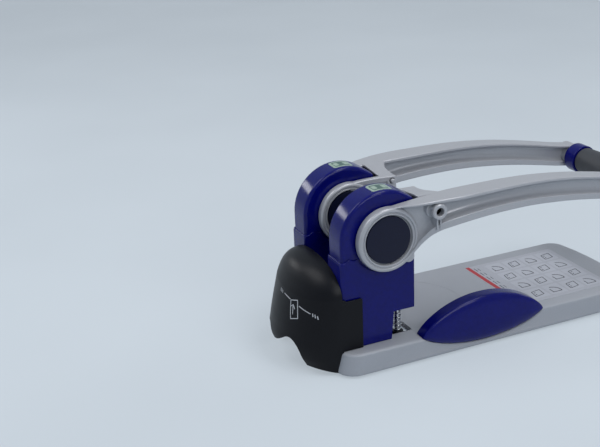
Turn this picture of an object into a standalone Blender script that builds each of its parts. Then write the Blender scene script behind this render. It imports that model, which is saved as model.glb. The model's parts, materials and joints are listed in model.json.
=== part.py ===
"""Two-hole lever punch in metres, +Z up, feet on Z = 0, pivot axis along Y.

Lengths are measured from the pivot axis in X and from the middle in Y. The empty
"base_centre" moves the whole object so that the middle of its bounds is at X = 0.
"""

import math

import bmesh
import bpy
import numpy as np
from mathutils import Vector

# Pivot, columns and throat
PIVOT_Z = 0.1305
COLUMN_R = 0.0455
COLUMN_TIP_UP = 0.0335
COLUMN_HALF = 0.0135
BAND_END_X = 0.0205
COLUMN_WALL = 0.003
COLUMN_EDGE = 0.0032
OVERHANG_Z = 0.0525
SKIRT_PROUD = 0.0012
SKIRT_DOWN = 0.0175
SKIRT_ROOM = 0.0022
POCKET_ROOF = 0.0045
FLOOR_WALL = 0.0035

# Base
BASE_TOP = 0.0235
BASE_LOW = 0.002
BASE_WALL = 0.003
BASE_HALF_TOP = 0.070
BASE_SIDE_FLARE = 0.0022
BASE_REAR_TOP = 0.050
BASE_REAR_FLARE = 0.0045
BASE_FRONT_TOP = 0.2955
BASE_FRONT_FLARE = 0.002
BASE_REAR_ROUND = 0.019
BASE_BOW = 0.0075
BASE_FRONT_ROUND = 0.016
BASE_EDGE = 0.0024
PLATE_THICK = 0.0016
PLATE_INSET = 0.0046
PANEL_X0 = 0.1565
PANEL_X1 = 0.269
PANEL_HALF = 0.054
PANEL_DEEP = 0.0012
PANEL_PROUD = 0.0001
PANEL_ROUND = 0.004
SCREW_REAR_X = 0.060
SCREW_FRONT_BACK = 0.0335
SCREW_INSET = 0.0125
SCREW_HEAD_R = 0.0034
SCREW_HEAD_H = 0.0012
SCREW_SHANK_R = 0.0014
SCREW_LENGTH = 0.011
SCREW_BOSS_R = 0.0036
FOOT_REAR_IN = 0.020
FOOT_FRONT_BACK = 0.0635
FOOT_INSET = 0.010
FOOT_R = 0.0075
FOOT_THICK = 0.0017
FOOT_STUD_R = 0.0030
FOOT_STUD_H = 0.0034

# Rack and pinion: module 2 mm, 16 teeth, pressure angle 20 degrees
MODULE = 0.002
TEETH = 16
PRESSURE = math.radians(20)
SWING = math.radians(80)
ADDENDUM_SHARE = 0.88
DEDENDUM_SHARE = 1.22
TOOTH_THIN = 0.00022
PINION_HALF = 0.0050
RACK_HALF = 0.0062
RACK_BACK = 0.0062
RACK_DOWN = 0.0305
RACK_UP = 0.0073

# Punch line, its places measured from the pin
PIN_FROM_PITCH = 0.004
PIN_Y = 0.040
PIN_R = 0.00275
PIN_TIP_Z = 0.0185
PIN_CUP = 0.0012
PIN_ROOM = 0.0006
COLLAR_R = 0.0048
COLLAR_Z0 = 0.0640
COLLAR_THICK = 0.0030
HOLE_R = 0.0030
PRESSER_R = 0.0058
PRESSER_THICK = 0.0030
COLUMN_PAST_PIN = 0.012
THROAT_TOP_BEFORE = 0.0105
THROAT_FOOT_BEFORE = 0.013
POCKET_BEFORE = 0.0065
WELL_BEFORE = 0.0115
WELL_PAST = 0.013
WELL_IN = 0.020
WELL_OUT = 0.0065
WELL_ROUND = 0.009
DIE_PLATE_BEFORE = 0.024
DIE_PLATE_PAST = 0.0165
DIE_PLATE_OUT = 0.012
DIE_PLATE_THICK = 0.0034
DIE_R = 0.0065
DIE_THICK = 0.0030
SPRING_R = 0.0036
WIRE_R = 0.00048
SPRING_TURNS = 10
SPRING_POINTS = 9
GUIDE_DOWN = 0.0400
GUIDE_TALL = 0.0080
GUIDE_BEFORE = 0.0110
GUIDE_HALF = 0.0098

# Axle
AXLE_R = 0.0060
AXLE_FLAT = 0.0045
BUSH_R = 0.0090
BUSH_FLANGE_R = 0.0112
BUSH_FLANGE = 0.0012
FIT = 0.0003

# Fork rings
RING_R = 0.0315
RING_RIM = 0.0052
RING_LAND = 0.0025
RING_SEAT_DEEP = 0.0018
RING_CHAMFER = 0.0040
OUT_RING_GAP = 0.0018
OUT_RING_THICK = 0.0087
IN_RING_GAP = 0.0016
IN_RING_THICK = 0.0077
CAP_ROOM = 0.0005
CAP_THICK = 0.0026
CAP_DOME = 0.0017
LUG_ANGLE = math.radians(-50.5)
LUG_ROOT = 0.0030
LUG_PROUD = 0.0048
LUG_HALF = 0.0048
LUG_INSET = 0.0007
LUG_WIDE = 0.0052

# Arms
ARM_EDGE = 0.0011
FLANGE = 0.0040
WEB_HALF = 0.0020
RECESS_DRAFT = 0.0012
BRIDGE_X0 = 0.0490
BRIDGE_X1 = 0.0545
BRIDGE_UP = 0.0323
BRIDGE_LOW_UP = 0.0033
BRIDGE_INSET = 0.0004
PRONG_INSET = 0.0012
PRONG_BACK = 0.0006
ARM_BOSS_X = 0.0485
ARM_BOSS_UP = 0.0219
ARM_BOSS_R = 0.0076
ARM_BOSS_COLLAR_R = 0.0060
ARM_BOSS_HOLE_R = 0.0040
ARM_END_R = 0.0125
ARM_END_PROUD = 0.0006
RIB_HALF = 0.0010
RIB_INSET = 0.0060
# Each row: X as a share of GRIP_X, top and bottom above the pivot as shares of RING_R,
# inner and outer face as shares of OUT_RING_Y1
ARM_SHARES = (
    (0.1650, 1.1111, 0.1174, 0.8156, 1.2219),
    (0.2020, 1.1143, 0.1873, 0.8156, 1.2422),
    (0.2424, 1.1143, 0.2540, 0.8172, 1.2469),
    (0.3199, 1.1174, 0.3080, 0.8187, 1.2312),
    (0.4209, 1.1206, 0.3365, 0.8234, 1.2109),
    (0.5253, 1.1048, 0.3175, 0.8328, 1.1875),
    (0.6061, 1.0254, 0.2952, 0.8422, 1.1656),
    (0.6936, 0.9239, 0.1873, 0.8438, 1.1453),
    (0.7811, 0.7873, 0.0096, 0.8406, 1.1281),
    (0.8620, 0.6317, -0.1492, 0.8328, 1.1125),
    (0.9293, 0.4921, -0.3080, 0.8250, 1.1000),
    (1.0000, 0.3968, -0.3651, 0.8172, 1.0891),
)
# The outer prong's rows end with the place of its web, again as a share of OUT_RING_Y1
OUT_PRONG_SHARES = (
    (-0.0140, 0.9270, -0.8412, 0.8734, 0.9844, 0.9000),
    (0.0572, 1.0635, -0.7777, 0.8734, 0.9906, 0.9141),
    (0.0909, 1.0889, -0.4921, 0.8734, 1.0187, 0.9250),
    (0.1246, 1.0984, -0.0857, 0.8734, 1.1016, 0.9469),
    (0.1717, 1.1048, 0.1492, 0.8594, 1.2125, 1.0000),
)
# The inner prong's rows are X, top and bottom only
IN_PRONG_SHARES = (
    (-0.0140, 0.9050, -0.8412),
    (0.0572, 1.0064, -0.7302),
    (0.1111, 1.0190, -0.2063),
    (0.1734, 0.9936, 0.1428),
)

# Grip
GRIP_X = 0.297
GRIP_UP = 0.0005
COLLAR_GRIP_R = 0.0155
SLEEVE_R = 0.0146
SLEEVE_HALF = 0.0342
TUBE_R = 0.0085
TUBE_WALL = 0.0016
TUBE_INSET = 0.0063
END_SCREW_R = 0.0098
END_SCREW_H = 0.0024
END_SCREW_DOME = 0.0012
END_PLUG_DEEP = 0.0120
HEX_R = 0.0034
HEX_DEEP = 0.0022

# Chip bin
BIN_BEFORE_BASE = 0.0030
BIN_DEEP = 0.0470
BIN_PAST_COLUMN = 0.0040
BIN_TOP = 0.1062
BIN_WALL = 0.0022
WING_REACH = 0.0210
WING_TOP = 0.0745
WING_THICK = 0.0018
WING_INSET = 0.0001
NOTCH_HALF = 0.0300
NOTCH_UP = 0.0325
RIM_START = 0.0050
RIM_RISE = 0.0105
# Each slice of the shell: share of its height, of its half width and of its depth
BIN_SLICE_SHARES = (
    (0.000, 1.000, 0.787),
    (0.067, 1.000, 0.851),
    (0.134, 1.000, 0.947),
    (0.230, 1.000, 1.000),
    (0.365, 1.000, 0.949),
    (0.509, 1.000, 0.877),
    (0.653, 1.000, 0.777),
    (0.720, 1.000, 0.721),
    (0.797, 0.974, 0.649),
    (0.859, 0.887, 0.572),
    (0.906, 0.748, 0.500),
    (0.955, 0.539, 0.370),
    (0.987, 0.348, 0.200),
    (1.000, 0.150, 0.060),
)
TRAY_PAST_BIN = 0.0010
TRAY_PAST_PIN = 0.014
TRAY_PAST_FOOT = 0.0035
TRAY_LOW = 0.0024
TRAY_TOP = 0.0160
TRAY_WALL = 0.0015

# Paper guide, let into the near side of the base
LENS_X = 0.102
LENS_HALF = 0.070
LENS_UP = 0.0300
LENS_DOWN = 0.0170
LENS_TIP_UP = 0.0005
LENS_POWER = 0.75
LENS_INSET = 0.0130
LENS_THICK = 0.0180
LENS_SEAT_DEEP = 0.0035
# Each row: share of the outline, share of the thickness
LENS_LAYER_SHARES = (
    (1.0, 0.0),
    (1.0, 0.64),
    (0.985, 0.735),
    (0.94, 0.81),
    (0.8, 0.9),
    (0.5, 0.975),
    (0.2, 1.0),
)
BACKING_PAST = 0.004
BAR_HALF = 0.010
BAR_Z0 = 0.0128
BAR_THICK = 0.0024
BAR_SHORT = 0.0035
CHANNEL_WALL = 0.0016
CHANNEL_FLOOR = 0.0021

NEAR_FAR = (("near", -1.0), ("far", 1.0))
AROUND = 28
RING_AROUND = 36
SMALL_AROUND = 20
EPS = 0.0004
OVER = 0.002

# Worked out from the lengths above: pivot and punch line
PITCH_R = MODULE * TEETH / 2
TIP_R = PITCH_R + ADDENDUM_SHARE * MODULE
PUNCH_TRAVEL = PITCH_R * SWING
PIN_X = PITCH_R + PIN_FROM_PITCH
PIN_TOP_Z = PIVOT_Z - math.sqrt(max(TIP_R**2 - (PIN_X - PIN_R) ** 2, 0)) - PUNCH_TRAVEL - PIN_ROOM
COLLAR_Z1 = COLLAR_Z0 + COLLAR_THICK
RACK_FRONT_X = PIN_X + RACK_BACK
RACK_Z0 = PIVOT_Z - RACK_DOWN
RACK_Z1 = PIVOT_Z + RACK_UP
GUIDE_Z0 = PIVOT_Z - GUIDE_DOWN
GUIDE_Z1 = GUIDE_Z0 + GUIDE_TALL
GUIDE_REAR_X = PIN_X - GUIDE_BEFORE
WELL_X0 = PIN_X - WELL_BEFORE
WELL_X1 = PIN_X + WELL_PAST
WELL_Y0 = PIN_Y - WELL_IN
WELL_Y1 = PIN_Y + WELL_OUT
DIE_PLATE_X0 = PIN_X - DIE_PLATE_BEFORE
DIE_PLATE_X1 = PIN_X + DIE_PLATE_PAST
DIE_PLATE_HALF = PIN_Y + DIE_PLATE_OUT

# Columns and rings
COLUMN_FRONT = PIN_X + COLUMN_PAST_PIN
COLUMN_TIP_Z = PIVOT_Z + COLUMN_TIP_UP
COLUMN_IN_Y = PIN_Y - COLUMN_HALF
COLUMN_OUT_Y = PIN_Y + COLUMN_HALF
THROAT_TOP_X = PIN_X - THROAT_TOP_BEFORE
THROAT_FOOT_X = PIN_X - THROAT_FOOT_BEFORE
POCKET_REAR_X = PIN_X - POCKET_BEFORE
SKIRT_Z = PIVOT_Z - SKIRT_DOWN
SKIRT_CLEAR_R = RING_R + SKIRT_ROOM
RING_FACE_R = RING_R - RING_RIM
RING_SEAT_R = RING_FACE_R - RING_LAND
OUT_RING_Y0 = COLUMN_OUT_Y + OUT_RING_GAP
OUT_RING_Y1 = OUT_RING_Y0 + OUT_RING_THICK
IN_RING_Y1 = COLUMN_IN_Y - IN_RING_GAP
IN_RING_Y0 = IN_RING_Y1 - IN_RING_THICK
CAP_R = RING_SEAT_R - CAP_ROOM
LUG_R0 = RING_R - LUG_ROOT
LUG_R1 = RING_R + LUG_PROUD
LUG_Y0 = OUT_RING_Y0 + LUG_INSET
LUG_Y1 = LUG_Y0 + LUG_WIDE

# Base
BASE_HALF_LOW = BASE_HALF_TOP + BASE_SIDE_FLARE
BASE_REAR_LOW = BASE_REAR_TOP + BASE_REAR_FLARE
BASE_FRONT_LOW = BASE_FRONT_TOP + BASE_FRONT_FLARE
SCREW_PLACES = (
    (SCREW_REAR_X, BASE_HALF_TOP - SCREW_INSET),
    (BASE_FRONT_TOP - SCREW_FRONT_BACK, BASE_HALF_TOP - SCREW_INSET),
)
FOOT_PLACES = (
    (-BASE_REAR_TOP + FOOT_REAR_IN, BASE_HALF_TOP - FOOT_INSET),
    (BASE_FRONT_TOP - FOOT_FRONT_BACK, BASE_HALF_TOP - FOOT_INSET),
)

# Arms and grip
GRIP_Z = PIVOT_Z + GRIP_UP
BRIDGE_TOP = PIVOT_Z + BRIDGE_UP
BRIDGE_LOW = PIVOT_Z + BRIDGE_LOW_UP
BRIDGE_IN_Y = IN_RING_Y0 + BRIDGE_INSET
ARM_BOSS_Z = PIVOT_Z + ARM_BOSS_UP
ARM_END_Y0 = ARM_SHARES[-1][3] * OUT_RING_Y1 - ARM_END_PROUD
ARM_END_Y1 = ARM_SHARES[-1][4] * OUT_RING_Y1 + ARM_END_PROUD
COLLAR_GRIP_Y0 = SLEEVE_HALF + FIT
COLLAR_GRIP_Y1 = ARM_END_Y0 - FIT
TUBE_HALF = ARM_END_Y1 - TUBE_INSET
END_PLUG_R = TUBE_R - TUBE_WALL - FIT

# Bin and paper guide
BIN_X = BASE_REAR_TOP - BIN_BEFORE_BASE
BIN_HALF = COLUMN_OUT_Y + BIN_PAST_COLUMN
WING_FRONT = BIN_X - WING_REACH
WING_Y1 = BIN_HALF - WING_INSET
WING_Y0 = WING_Y1 - WING_THICK
TRAY_REAR = BIN_X + TRAY_PAST_BIN
TRAY_FRONT = PIN_X + TRAY_PAST_PIN
TRAY_HALF = BASE_HALF_TOP - FOOT_INSET - FOOT_R - TRAY_PAST_FOOT
LENS_Z = BASE_TOP + LENS_TIP_UP
LENS_IN_Y = BASE_HALF_TOP - LENS_INSET
LENS_SEAT_Y = BASE_HALF_TOP - LENS_SEAT_DEEP
LENS_CLEAR_Y = LENS_SEAT_Y + FIT
BACKING_IN_Y = LENS_SEAT_Y - BASE_WALL
BACKING_OUT_Y = BASE_HALF_TOP - FIT * 2
BAR_X = LENS_X
BAR_Z1 = BAR_Z0 + BAR_THICK
BAR_OUT_Y = LENS_CLEAR_Y - FIT
CHANNEL_Y = BACKING_IN_Y - FIT
BAR_IN_Y = CHANNEL_Y - BAR_SHORT
CHANNEL_LOW_Z = BAR_Z0 - FIT - CHANNEL_FLOOR

REAR_REACH = BIN_X + BIN_DEEP
FRONT_REACH = GRIP_X + COLLAR_GRIP_R
SHIFT_X = -(FRONT_REACH - REAR_REACH) / 2


def srgb(code):
    """Linear colour from a hex code."""
    parts = [int(code[i : i + 2], 16) / 255 for i in (0, 2, 4)]
    return tuple(p / 12.92 if p <= 0.04045 else ((p + 0.055) / 1.055) ** 2.4 for p in parts) + (1.0,)


def material(name, code, roughness, metallic):
    mat = bpy.data.materials.new(name)
    mat.use_nodes = True
    shader = mat.node_tree.nodes["Principled BSDF"]
    shader.inputs["Base Color"].default_value = srgb(code)
    shader.inputs["Roughness"].default_value = roughness
    shader.inputs["Metallic"].default_value = metallic
    mat.diffuse_color = srgb(code)
    return mat


for old in list(bpy.data.objects):
    bpy.data.objects.remove(old)

PUNCH = bpy.data.collections.new("two_hole_punch")
CUTTERS = bpy.data.collections.new("cutters")
bpy.context.scene.collection.children.link(PUNCH)
bpy.context.scene.collection.children.link(CUTTERS)
CUTTERS.hide_render = True

BLUE = material("blue_gloss", "14327a", 0.18, 0.0)
BASE_GREY = material("base_grey", "b9bdc4", 0.45, 0.0)
SILVER = material("silver_paint", "a9adb2", 0.35, 0.4)
BLACK = material("black_satin", "1b1c20", 0.4, 0.0)
SLEEVE = material("sleeve_rubber", "34363b", 0.7, 0.0)
STEEL = material("bright_steel", "b4b6b8", 0.25, 1.0)
ZINC = material("zinc_plate", "9a9ca0", 0.4, 1.0)
BRONZE = material("bronze", "a5793c", 0.35, 1.0)
RUBBER = material("foot_rubber", "202022", 0.85, 0.0)
LABEL = material("label_film", "d8dce2", 0.4, 0.0)


def empty(name, place, parent=None):
    found = bpy.data.objects.new(name, None)
    PUNCH.objects.link(found)
    found.parent = parent
    found.location = place
    return found


ROOT = empty("base_centre", (SHIFT_X, 0, 0))
HANDLE = empty("handle_axis", (0, 0, PIVOT_Z), ROOT)
GRIP = empty("grip_axis", (GRIP_X, 0, GRIP_Z), ROOT)
BIN = empty("bin_slide", (-BIN_X, 0, BASE_LOW), ROOT)
GUIDE = empty("guide_slide", (LENS_X, -LENS_IN_Y, LENS_Z), ROOT)
PUNCHES = {s: empty("punch_slide_" + n, (PIN_X, s * PIN_Y, RACK_Z0), ROOT) for n, s in NEAR_FAR}
PRESSERS = {s: empty("presser_slide_" + n, (PIN_X, s * PIN_Y, BASE_TOP), ROOT) for n, s in NEAR_FAR}


def joined(name, verts, faces, mat=None, parent=None, smooth=False):
    """A mesh object from points in pivot coordinates, hung on its empty; a cutter where mat is None."""
    mesh = bpy.data.meshes.new(name)
    mesh.from_pydata([tuple(v) for v in verts], [], [tuple(f) for f in faces])
    bm = bmesh.new()
    bm.from_mesh(mesh)
    bmesh.ops.recalc_face_normals(bm, faces=bm.faces)
    bm.to_mesh(mesh)
    bm.free()
    obj = bpy.data.objects.new(name, mesh)
    if mat is None:
        CUTTERS.objects.link(obj)
        obj.hide_render = True
        obj.display_type = "WIRE"
    else:
        PUNCH.objects.link(obj)
        mesh.materials.append(mat)
    obj.parent = parent or ROOT
    if parent is not None and parent is not ROOT:
        obj.location = -parent.location
    if smooth:
        mesh.shade_smooth()
        mesh.set_sharp_from_angle(angle=math.radians(32))
    return obj


def lofted(name, rings, mat=None, parent=None, smooth=False):
    """Rings of equally many points joined one to the next, the end rings closed."""
    count = len(rings[0])
    verts = [p for ring in rings for p in ring]
    faces = [tuple(range(count))]
    for k in range(len(rings) - 1):
        for i in range(count):
            j = (i + 1) % count
            faces.append((k * count + i, k * count + j, (k + 1) * count + j, (k + 1) * count + i))
    faces.append(tuple((len(rings) - 1) * count + i for i in range(count)))
    return joined(name, verts, faces, mat, parent, smooth)


def prism_y(name, outline, y0, y1, mat=None, parent=None, smooth=False):
    return lofted(name, [[(x, y, z) for x, z in outline] for y in (y0, y1)], mat, parent, smooth)


def prism_z(name, outline, z0, z1, mat=None, parent=None, smooth=False):
    return lofted(name, [[(x, y, z) for x, y in outline] for z in (z0, z1)], mat, parent, smooth)


def block(name, xs, ys, zs, mat=None, parent=None):
    corners = [(xs[0], ys[0]), (xs[1], ys[0]), (xs[1], ys[1]), (xs[0], ys[1])]
    return prism_z(name, corners, zs[0], zs[1], mat, parent)


def turned(name, profile, centre, mat=None, parent=None, steps=AROUND, axis="Y"):
    """(radius, place along) turned about a line through centre, both ends at the axis or a closed ring."""
    closed = profile[0][0] > 0
    verts, rows = [], []
    for radius, along in profile:
        count = steps if radius > 0 else 1
        rows.append([len(verts) + (i if count > 1 else 0) for i in range(steps)])
        for i in range(count):
            turn = 2 * math.pi * i / steps
            a, b = radius * math.cos(turn), radius * math.sin(turn)
            place = (along, centre[1] + b) if axis == "Y" else (centre[1] + b, along)
            verts.append((centre[0] + a, *place))
    faces = []
    pairs = list(zip(rows, rows[1:] + rows[:1])) if closed else list(zip(rows, rows[1:]))
    for low, high in pairs:
        for i in range(steps):
            j = (i + 1) % steps
            face = []
            for index in (low[i], low[j], high[j], high[i]):
                if index not in face:
                    face.append(index)
            if len(face) > 2:
                faces.append(face)
    return joined(name, verts, faces, mat, parent, True)


def rod_z(name, centre, radius, z0, z1, mat=None, parent=None, steps=32):
    return turned(name, [(0, z0), (radius, z0), (radius, z1), (0, z1)], centre, mat, parent, steps, "Z")


def rod_y(name, centre, radius, y0, y1, mat=None, parent=None, steps=32):
    return turned(name, [(0, y0), (radius, y0), (radius, y1), (0, y1)], centre, mat, parent, steps, "Y")


def boolean(obj, other, operation="DIFFERENCE"):
    step = obj.modifiers.new(operation.lower(), "BOOLEAN")
    step.operation = operation
    step.solver = "EXACT"
    step.object = other
    return obj


def eased(obj, width, segments=2, angle=35.0):
    step = obj.modifiers.new("eased_edges", "BEVEL")
    step.width = width
    step.segments = segments
    step.limit_method = "ANGLE"
    step.angle_limit = math.radians(angle)
    step.use_clamp_overlap = True
    step.harden_normals = False
    return obj


def arc(centre, radius, start, end, count):
    """Points of a circle from angle start to angle end, in radians."""
    turns = [start + (end - start) * i / count for i in range(count + 1)]
    return [(centre[0] + radius * math.cos(t), centre[1] + radius * math.sin(t)) for t in turns]


def rounded(corners, radius, count=4):
    """The outline with each corner replaced by an arc tangent to both sides."""
    points = []
    total = len(corners)
    radii = radius if isinstance(radius, (list, tuple)) else [radius] * total
    for i, corner in enumerate(corners):
        here = Vector(corner)
        before = Vector(corners[i - 1]) - here
        after = Vector(corners[(i + 1) % total]) - here
        if radii[i] <= 0:
            points.append(tuple(here))
            continue
        half = before.angle(after) / 2
        along = radii[i] / math.tan(half)
        first = here + before.normalized() * along
        last = here + after.normalized() * along
        middle = here + (before.normalized() + after.normalized()).normalized() * (radii[i] / math.sin(half))
        start = math.atan2(first.y - middle.y, first.x - middle.x)
        end = math.atan2(last.y - middle.y, last.x - middle.x)
        sweep = (end - start + math.pi) % (2 * math.pi) - math.pi
        points.extend(arc(tuple(middle), radii[i], start, start + sweep, count))
    return points


def span(side, near, far):
    return tuple(sorted((side * near, side * far)))


def base_outline(inset, share):
    """Plan of the base: share 0 is its top edge and 1 its lower edge."""
    half = BASE_HALF_TOP + (BASE_HALF_LOW - BASE_HALF_TOP) * share - inset
    rear = -(BASE_REAR_TOP + (BASE_REAR_LOW - BASE_REAR_TOP) * share) + inset
    front = BASE_FRONT_TOP + (BASE_FRONT_LOW - BASE_FRONT_TOP) * share - inset
    bow = [(front - BASE_BOW * (y / BASE_HALF_TOP) ** 2, y) for y in np.linspace(-half, half, 9)]
    corners = [(rear, half), (rear, -half)] + [(float(x), float(y)) for x, y in bow]
    radii = [BASE_REAR_ROUND - inset] * 2 + [BASE_FRONT_ROUND - inset] + [0] * 7 + [BASE_FRONT_ROUND - inset]
    kept = []
    for k, point in enumerate(corners):
        inside = 2 < k < 10 and half - abs(point[1]) < BASE_FRONT_ROUND * 1.3
        if not inside:
            kept.append((point, radii[k]))
    return rounded([p for p, _ in kept], [r for _, r in kept], 6)


def d_outline(radius, flat):
    """A circle about the pivot with a flat cut on its top side."""
    half = math.acos(flat / radius)
    return arc((0, PIVOT_Z), radius, math.pi / 2 + half, math.pi / 2 + 2 * math.pi - half, SMALL_AROUND)


def make_base():
    z_low = BASE_LOW + PLATE_THICK + FIT
    rings = [
        [(x, y, BASE_LOW) for x, y in base_outline(0, 1)],
        [(x, y, BASE_TOP) for x, y in base_outline(0, 0)],
    ]
    cover = eased(lofted("base_cover", rings, BASE_GREY, None, True), BASE_EDGE, 2, 40)
    hollow = [
        [(x, y, BASE_LOW - OVER) for x, y in base_outline(BASE_WALL, 1)],
        [(x, y, BASE_TOP - BASE_WALL) for x, y in base_outline(BASE_WALL, 0)],
    ]
    boolean(cover, lofted("cover_hollow", hollow))
    panel = rounded(
        [(PANEL_X0, -PANEL_HALF), (PANEL_X1, -PANEL_HALF), (PANEL_X1, PANEL_HALF), (PANEL_X0, PANEL_HALF)],
        PANEL_ROUND,
    )
    seat = rounded(
        [
            (PANEL_X0 - FIT, -PANEL_HALF - FIT),
            (PANEL_X1 + FIT, -PANEL_HALF - FIT),
            (PANEL_X1 + FIT, PANEL_HALF + FIT),
            (PANEL_X0 - FIT, PANEL_HALF + FIT),
        ],
        PANEL_ROUND + FIT,
    )
    boolean(cover, prism_z("panel_seat", seat, BASE_TOP - PANEL_DEEP, BASE_TOP + OVER))
    label = prism_z("label_panel", panel, BASE_TOP - PANEL_DEEP + FIT, BASE_TOP + PANEL_PROUD, LABEL)
    eased(label, PANEL_DEEP / 6, 1)
    wells = []
    for name, side in NEAR_FAR:
        y0, y1 = span(side, WELL_Y0, WELL_Y1)
        inner = [WELL_ROUND if side * y < (WELL_Y0 + WELL_Y1) / 2 else 0 for y in (y0, y0, y1, y1)]
        small = [r if r else WELL_ROUND / 6 for r in inner]
        well = rounded([(WELL_X0, y0), (WELL_X1, y0), (WELL_X1, y1), (WELL_X0, y1)], small, 5)
        boolean(cover, prism_z("well_cut_" + name, well, BASE_TOP - BASE_WALL - OVER, BASE_TOP + OVER))
        wells.append(well)
    opening = block(
        "tray_opening",
        (-BASE_REAR_LOW - OVER, -BASE_REAR_TOP + BASE_REAR_ROUND / 2),
        (-TRAY_HALF - EPS * 2, TRAY_HALF + EPS * 2),
        (BASE_LOW - OVER, TRAY_TOP + EPS),
    )
    boolean(cover, opening)
    backing = block(
        "lens_backing",
        (LENS_X - LENS_HALF - BACKING_PAST, LENS_X + LENS_HALF + BACKING_PAST),
        (-BACKING_OUT_Y, -BACKING_IN_Y),
        (LENS_Z - LENS_DOWN - BASE_LOW, BASE_TOP - BASE_WALL / 2),
    )
    boolean(cover, backing, "UNION")
    seat = prism_y("lens_seat", lens_outline(1.0, FIT), -BASE_HALF_LOW - OVER, -LENS_SEAT_Y)
    boolean(cover, seat)
    slot = block(
        "bar_slot",
        (BAR_X - BAR_HALF - FIT, BAR_X + BAR_HALF + FIT),
        (-LENS_SEAT_Y - OVER, -BACKING_IN_Y + OVER),
        (BAR_Z0 - FIT, BAR_Z1 + FIT),
    )
    boolean(cover, slot)

    z_roof = BASE_TOP - BASE_WALL
    for place, (x, half) in enumerate(SCREW_PLACES):
        for name, side in NEAR_FAR:
            label_end = f"{place}_{name}"
            post = turned(
                "post_" + label_end,
                [
                    (SCREW_SHANK_R + FIT, z_low),
                    (SCREW_BOSS_R, z_low),
                    (SCREW_BOSS_R, z_roof + BASE_WALL / 3),
                    (SCREW_SHANK_R + FIT, z_roof + BASE_WALL / 3),
                ],
                (x, side * half),
                steps=SMALL_AROUND,
                axis="Z",
            )
            boolean(cover, post, "UNION")

    plate_outline = base_outline(PLATE_INSET, 1)
    plate = prism_z("base_plate", plate_outline, BASE_LOW, BASE_LOW + PLATE_THICK, ZINC)
    tray_slot = block(
        "plate_slot",
        (-BASE_REAR_LOW - OVER, TRAY_FRONT + FIT * 3),
        (-TRAY_HALF - EPS * 2, TRAY_HALF + EPS * 2),
        (BASE_LOW - OVER, BASE_LOW + PLATE_THICK + OVER),
    )
    boolean(plate, tray_slot)
    for place, (x, half) in enumerate(SCREW_PLACES):
        for name, side in NEAR_FAR:
            end = f"{place}_{name}"
            hole = turned(
                "plate_hole_" + end,
                [
                    (0, BASE_LOW - OVER),
                    (SCREW_HEAD_R + FIT, BASE_LOW - OVER),
                    (SCREW_HEAD_R + FIT, BASE_LOW),
                    (SCREW_SHANK_R + FIT, BASE_LOW + SCREW_HEAD_H + FIT),
                    (SCREW_SHANK_R + FIT, BASE_LOW + PLATE_THICK + OVER),
                    (0, BASE_LOW + PLATE_THICK + OVER),
                ],
                (x, side * half),
                steps=SMALL_AROUND,
                axis="Z",
            )
            boolean(plate, hole)
            screw = turned(
                "plate_screw_" + end,
                [
                    (0, BASE_LOW),
                    (SCREW_HEAD_R - FIT, BASE_LOW),
                    (SCREW_SHANK_R, BASE_LOW + SCREW_HEAD_H),
                    (SCREW_SHANK_R, BASE_LOW + SCREW_LENGTH - SCREW_SHANK_R),
                    (SCREW_SHANK_R / 2, BASE_LOW + SCREW_LENGTH),
                    (0, BASE_LOW + SCREW_LENGTH),
                ],
                (x, side * half),
                STEEL,
                steps=SMALL_AROUND,
                axis="Z",
            )
            arm, thin = SCREW_HEAD_R * 0.55, SCREW_HEAD_R * 0.14
            for turn, (a, b) in enumerate(((arm, thin), (thin, arm))):
                cross = block(
                    f"cross_{turn}_{end}",
                    (x - a, x + a),
                    (side * half - b, side * half + b),
                    (BASE_LOW - OVER, BASE_LOW + SCREW_HEAD_H / 2),
                )
                boolean(screw, cross)
    for place, (x, half) in enumerate(FOOT_PLACES):
        for name, side in NEAR_FAR:
            end = f"{place}_{name}"
            bore = FOOT_STUD_R + FIT
            hole = rod_z("foot_hole_" + end, (x, side * half), bore, BASE_LOW - OVER, z_low + OVER, steps=SMALL_AROUND)
            boolean(plate, hole)
            turned(
                "foot_" + end,
                [
                    (0, 0),
                    (FOOT_R - FOOT_THICK / 3, 0),
                    (FOOT_R, FOOT_THICK / 3),
                    (FOOT_R, FOOT_THICK),
                    (FOOT_STUD_R, FOOT_THICK),
                    (FOOT_STUD_R, FOOT_STUD_H),
                    (0, FOOT_STUD_H),
                ],
                (x, side * half),
                RUBBER,
                steps=SMALL_AROUND + 4,
                axis="Z",
            )

    die_top = BASE_TOP - BASE_WALL - FIT
    dies = block(
        "die_plate",
        (DIE_PLATE_X0, DIE_PLATE_X1),
        (-DIE_PLATE_HALF, DIE_PLATE_HALF),
        (die_top - DIE_PLATE_THICK, die_top),
        STEEL,
    )
    eased(dies, FIT, 1)
    for name, side in NEAR_FAR:
        seat = turned(
            "die_seat_" + name,
            [
                (0, die_top - DIE_PLATE_THICK - OVER),
                (HOLE_R * 1.2, die_top - DIE_PLATE_THICK - OVER),
                (HOLE_R * 1.2, die_top - DIE_THICK - FIT),
                (DIE_R + FIT, die_top - DIE_THICK - FIT),
                (DIE_R + FIT, die_top + OVER),
                (0, die_top + OVER),
            ],
            (PIN_X, side * PIN_Y),
            steps=32,
            axis="Z",
        )
        boolean(dies, seat)
        turned(
            "die_" + name,
            [
                (HOLE_R * 1.15, die_top - DIE_THICK),
                (DIE_R, die_top - DIE_THICK),
                (DIE_R, die_top),
                (HOLE_R, die_top),
                (HOLE_R, die_top - DIE_THICK / 2),
            ],
            (PIN_X, side * PIN_Y),
            ZINC,
            steps=32,
            axis="Z",
        )

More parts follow.
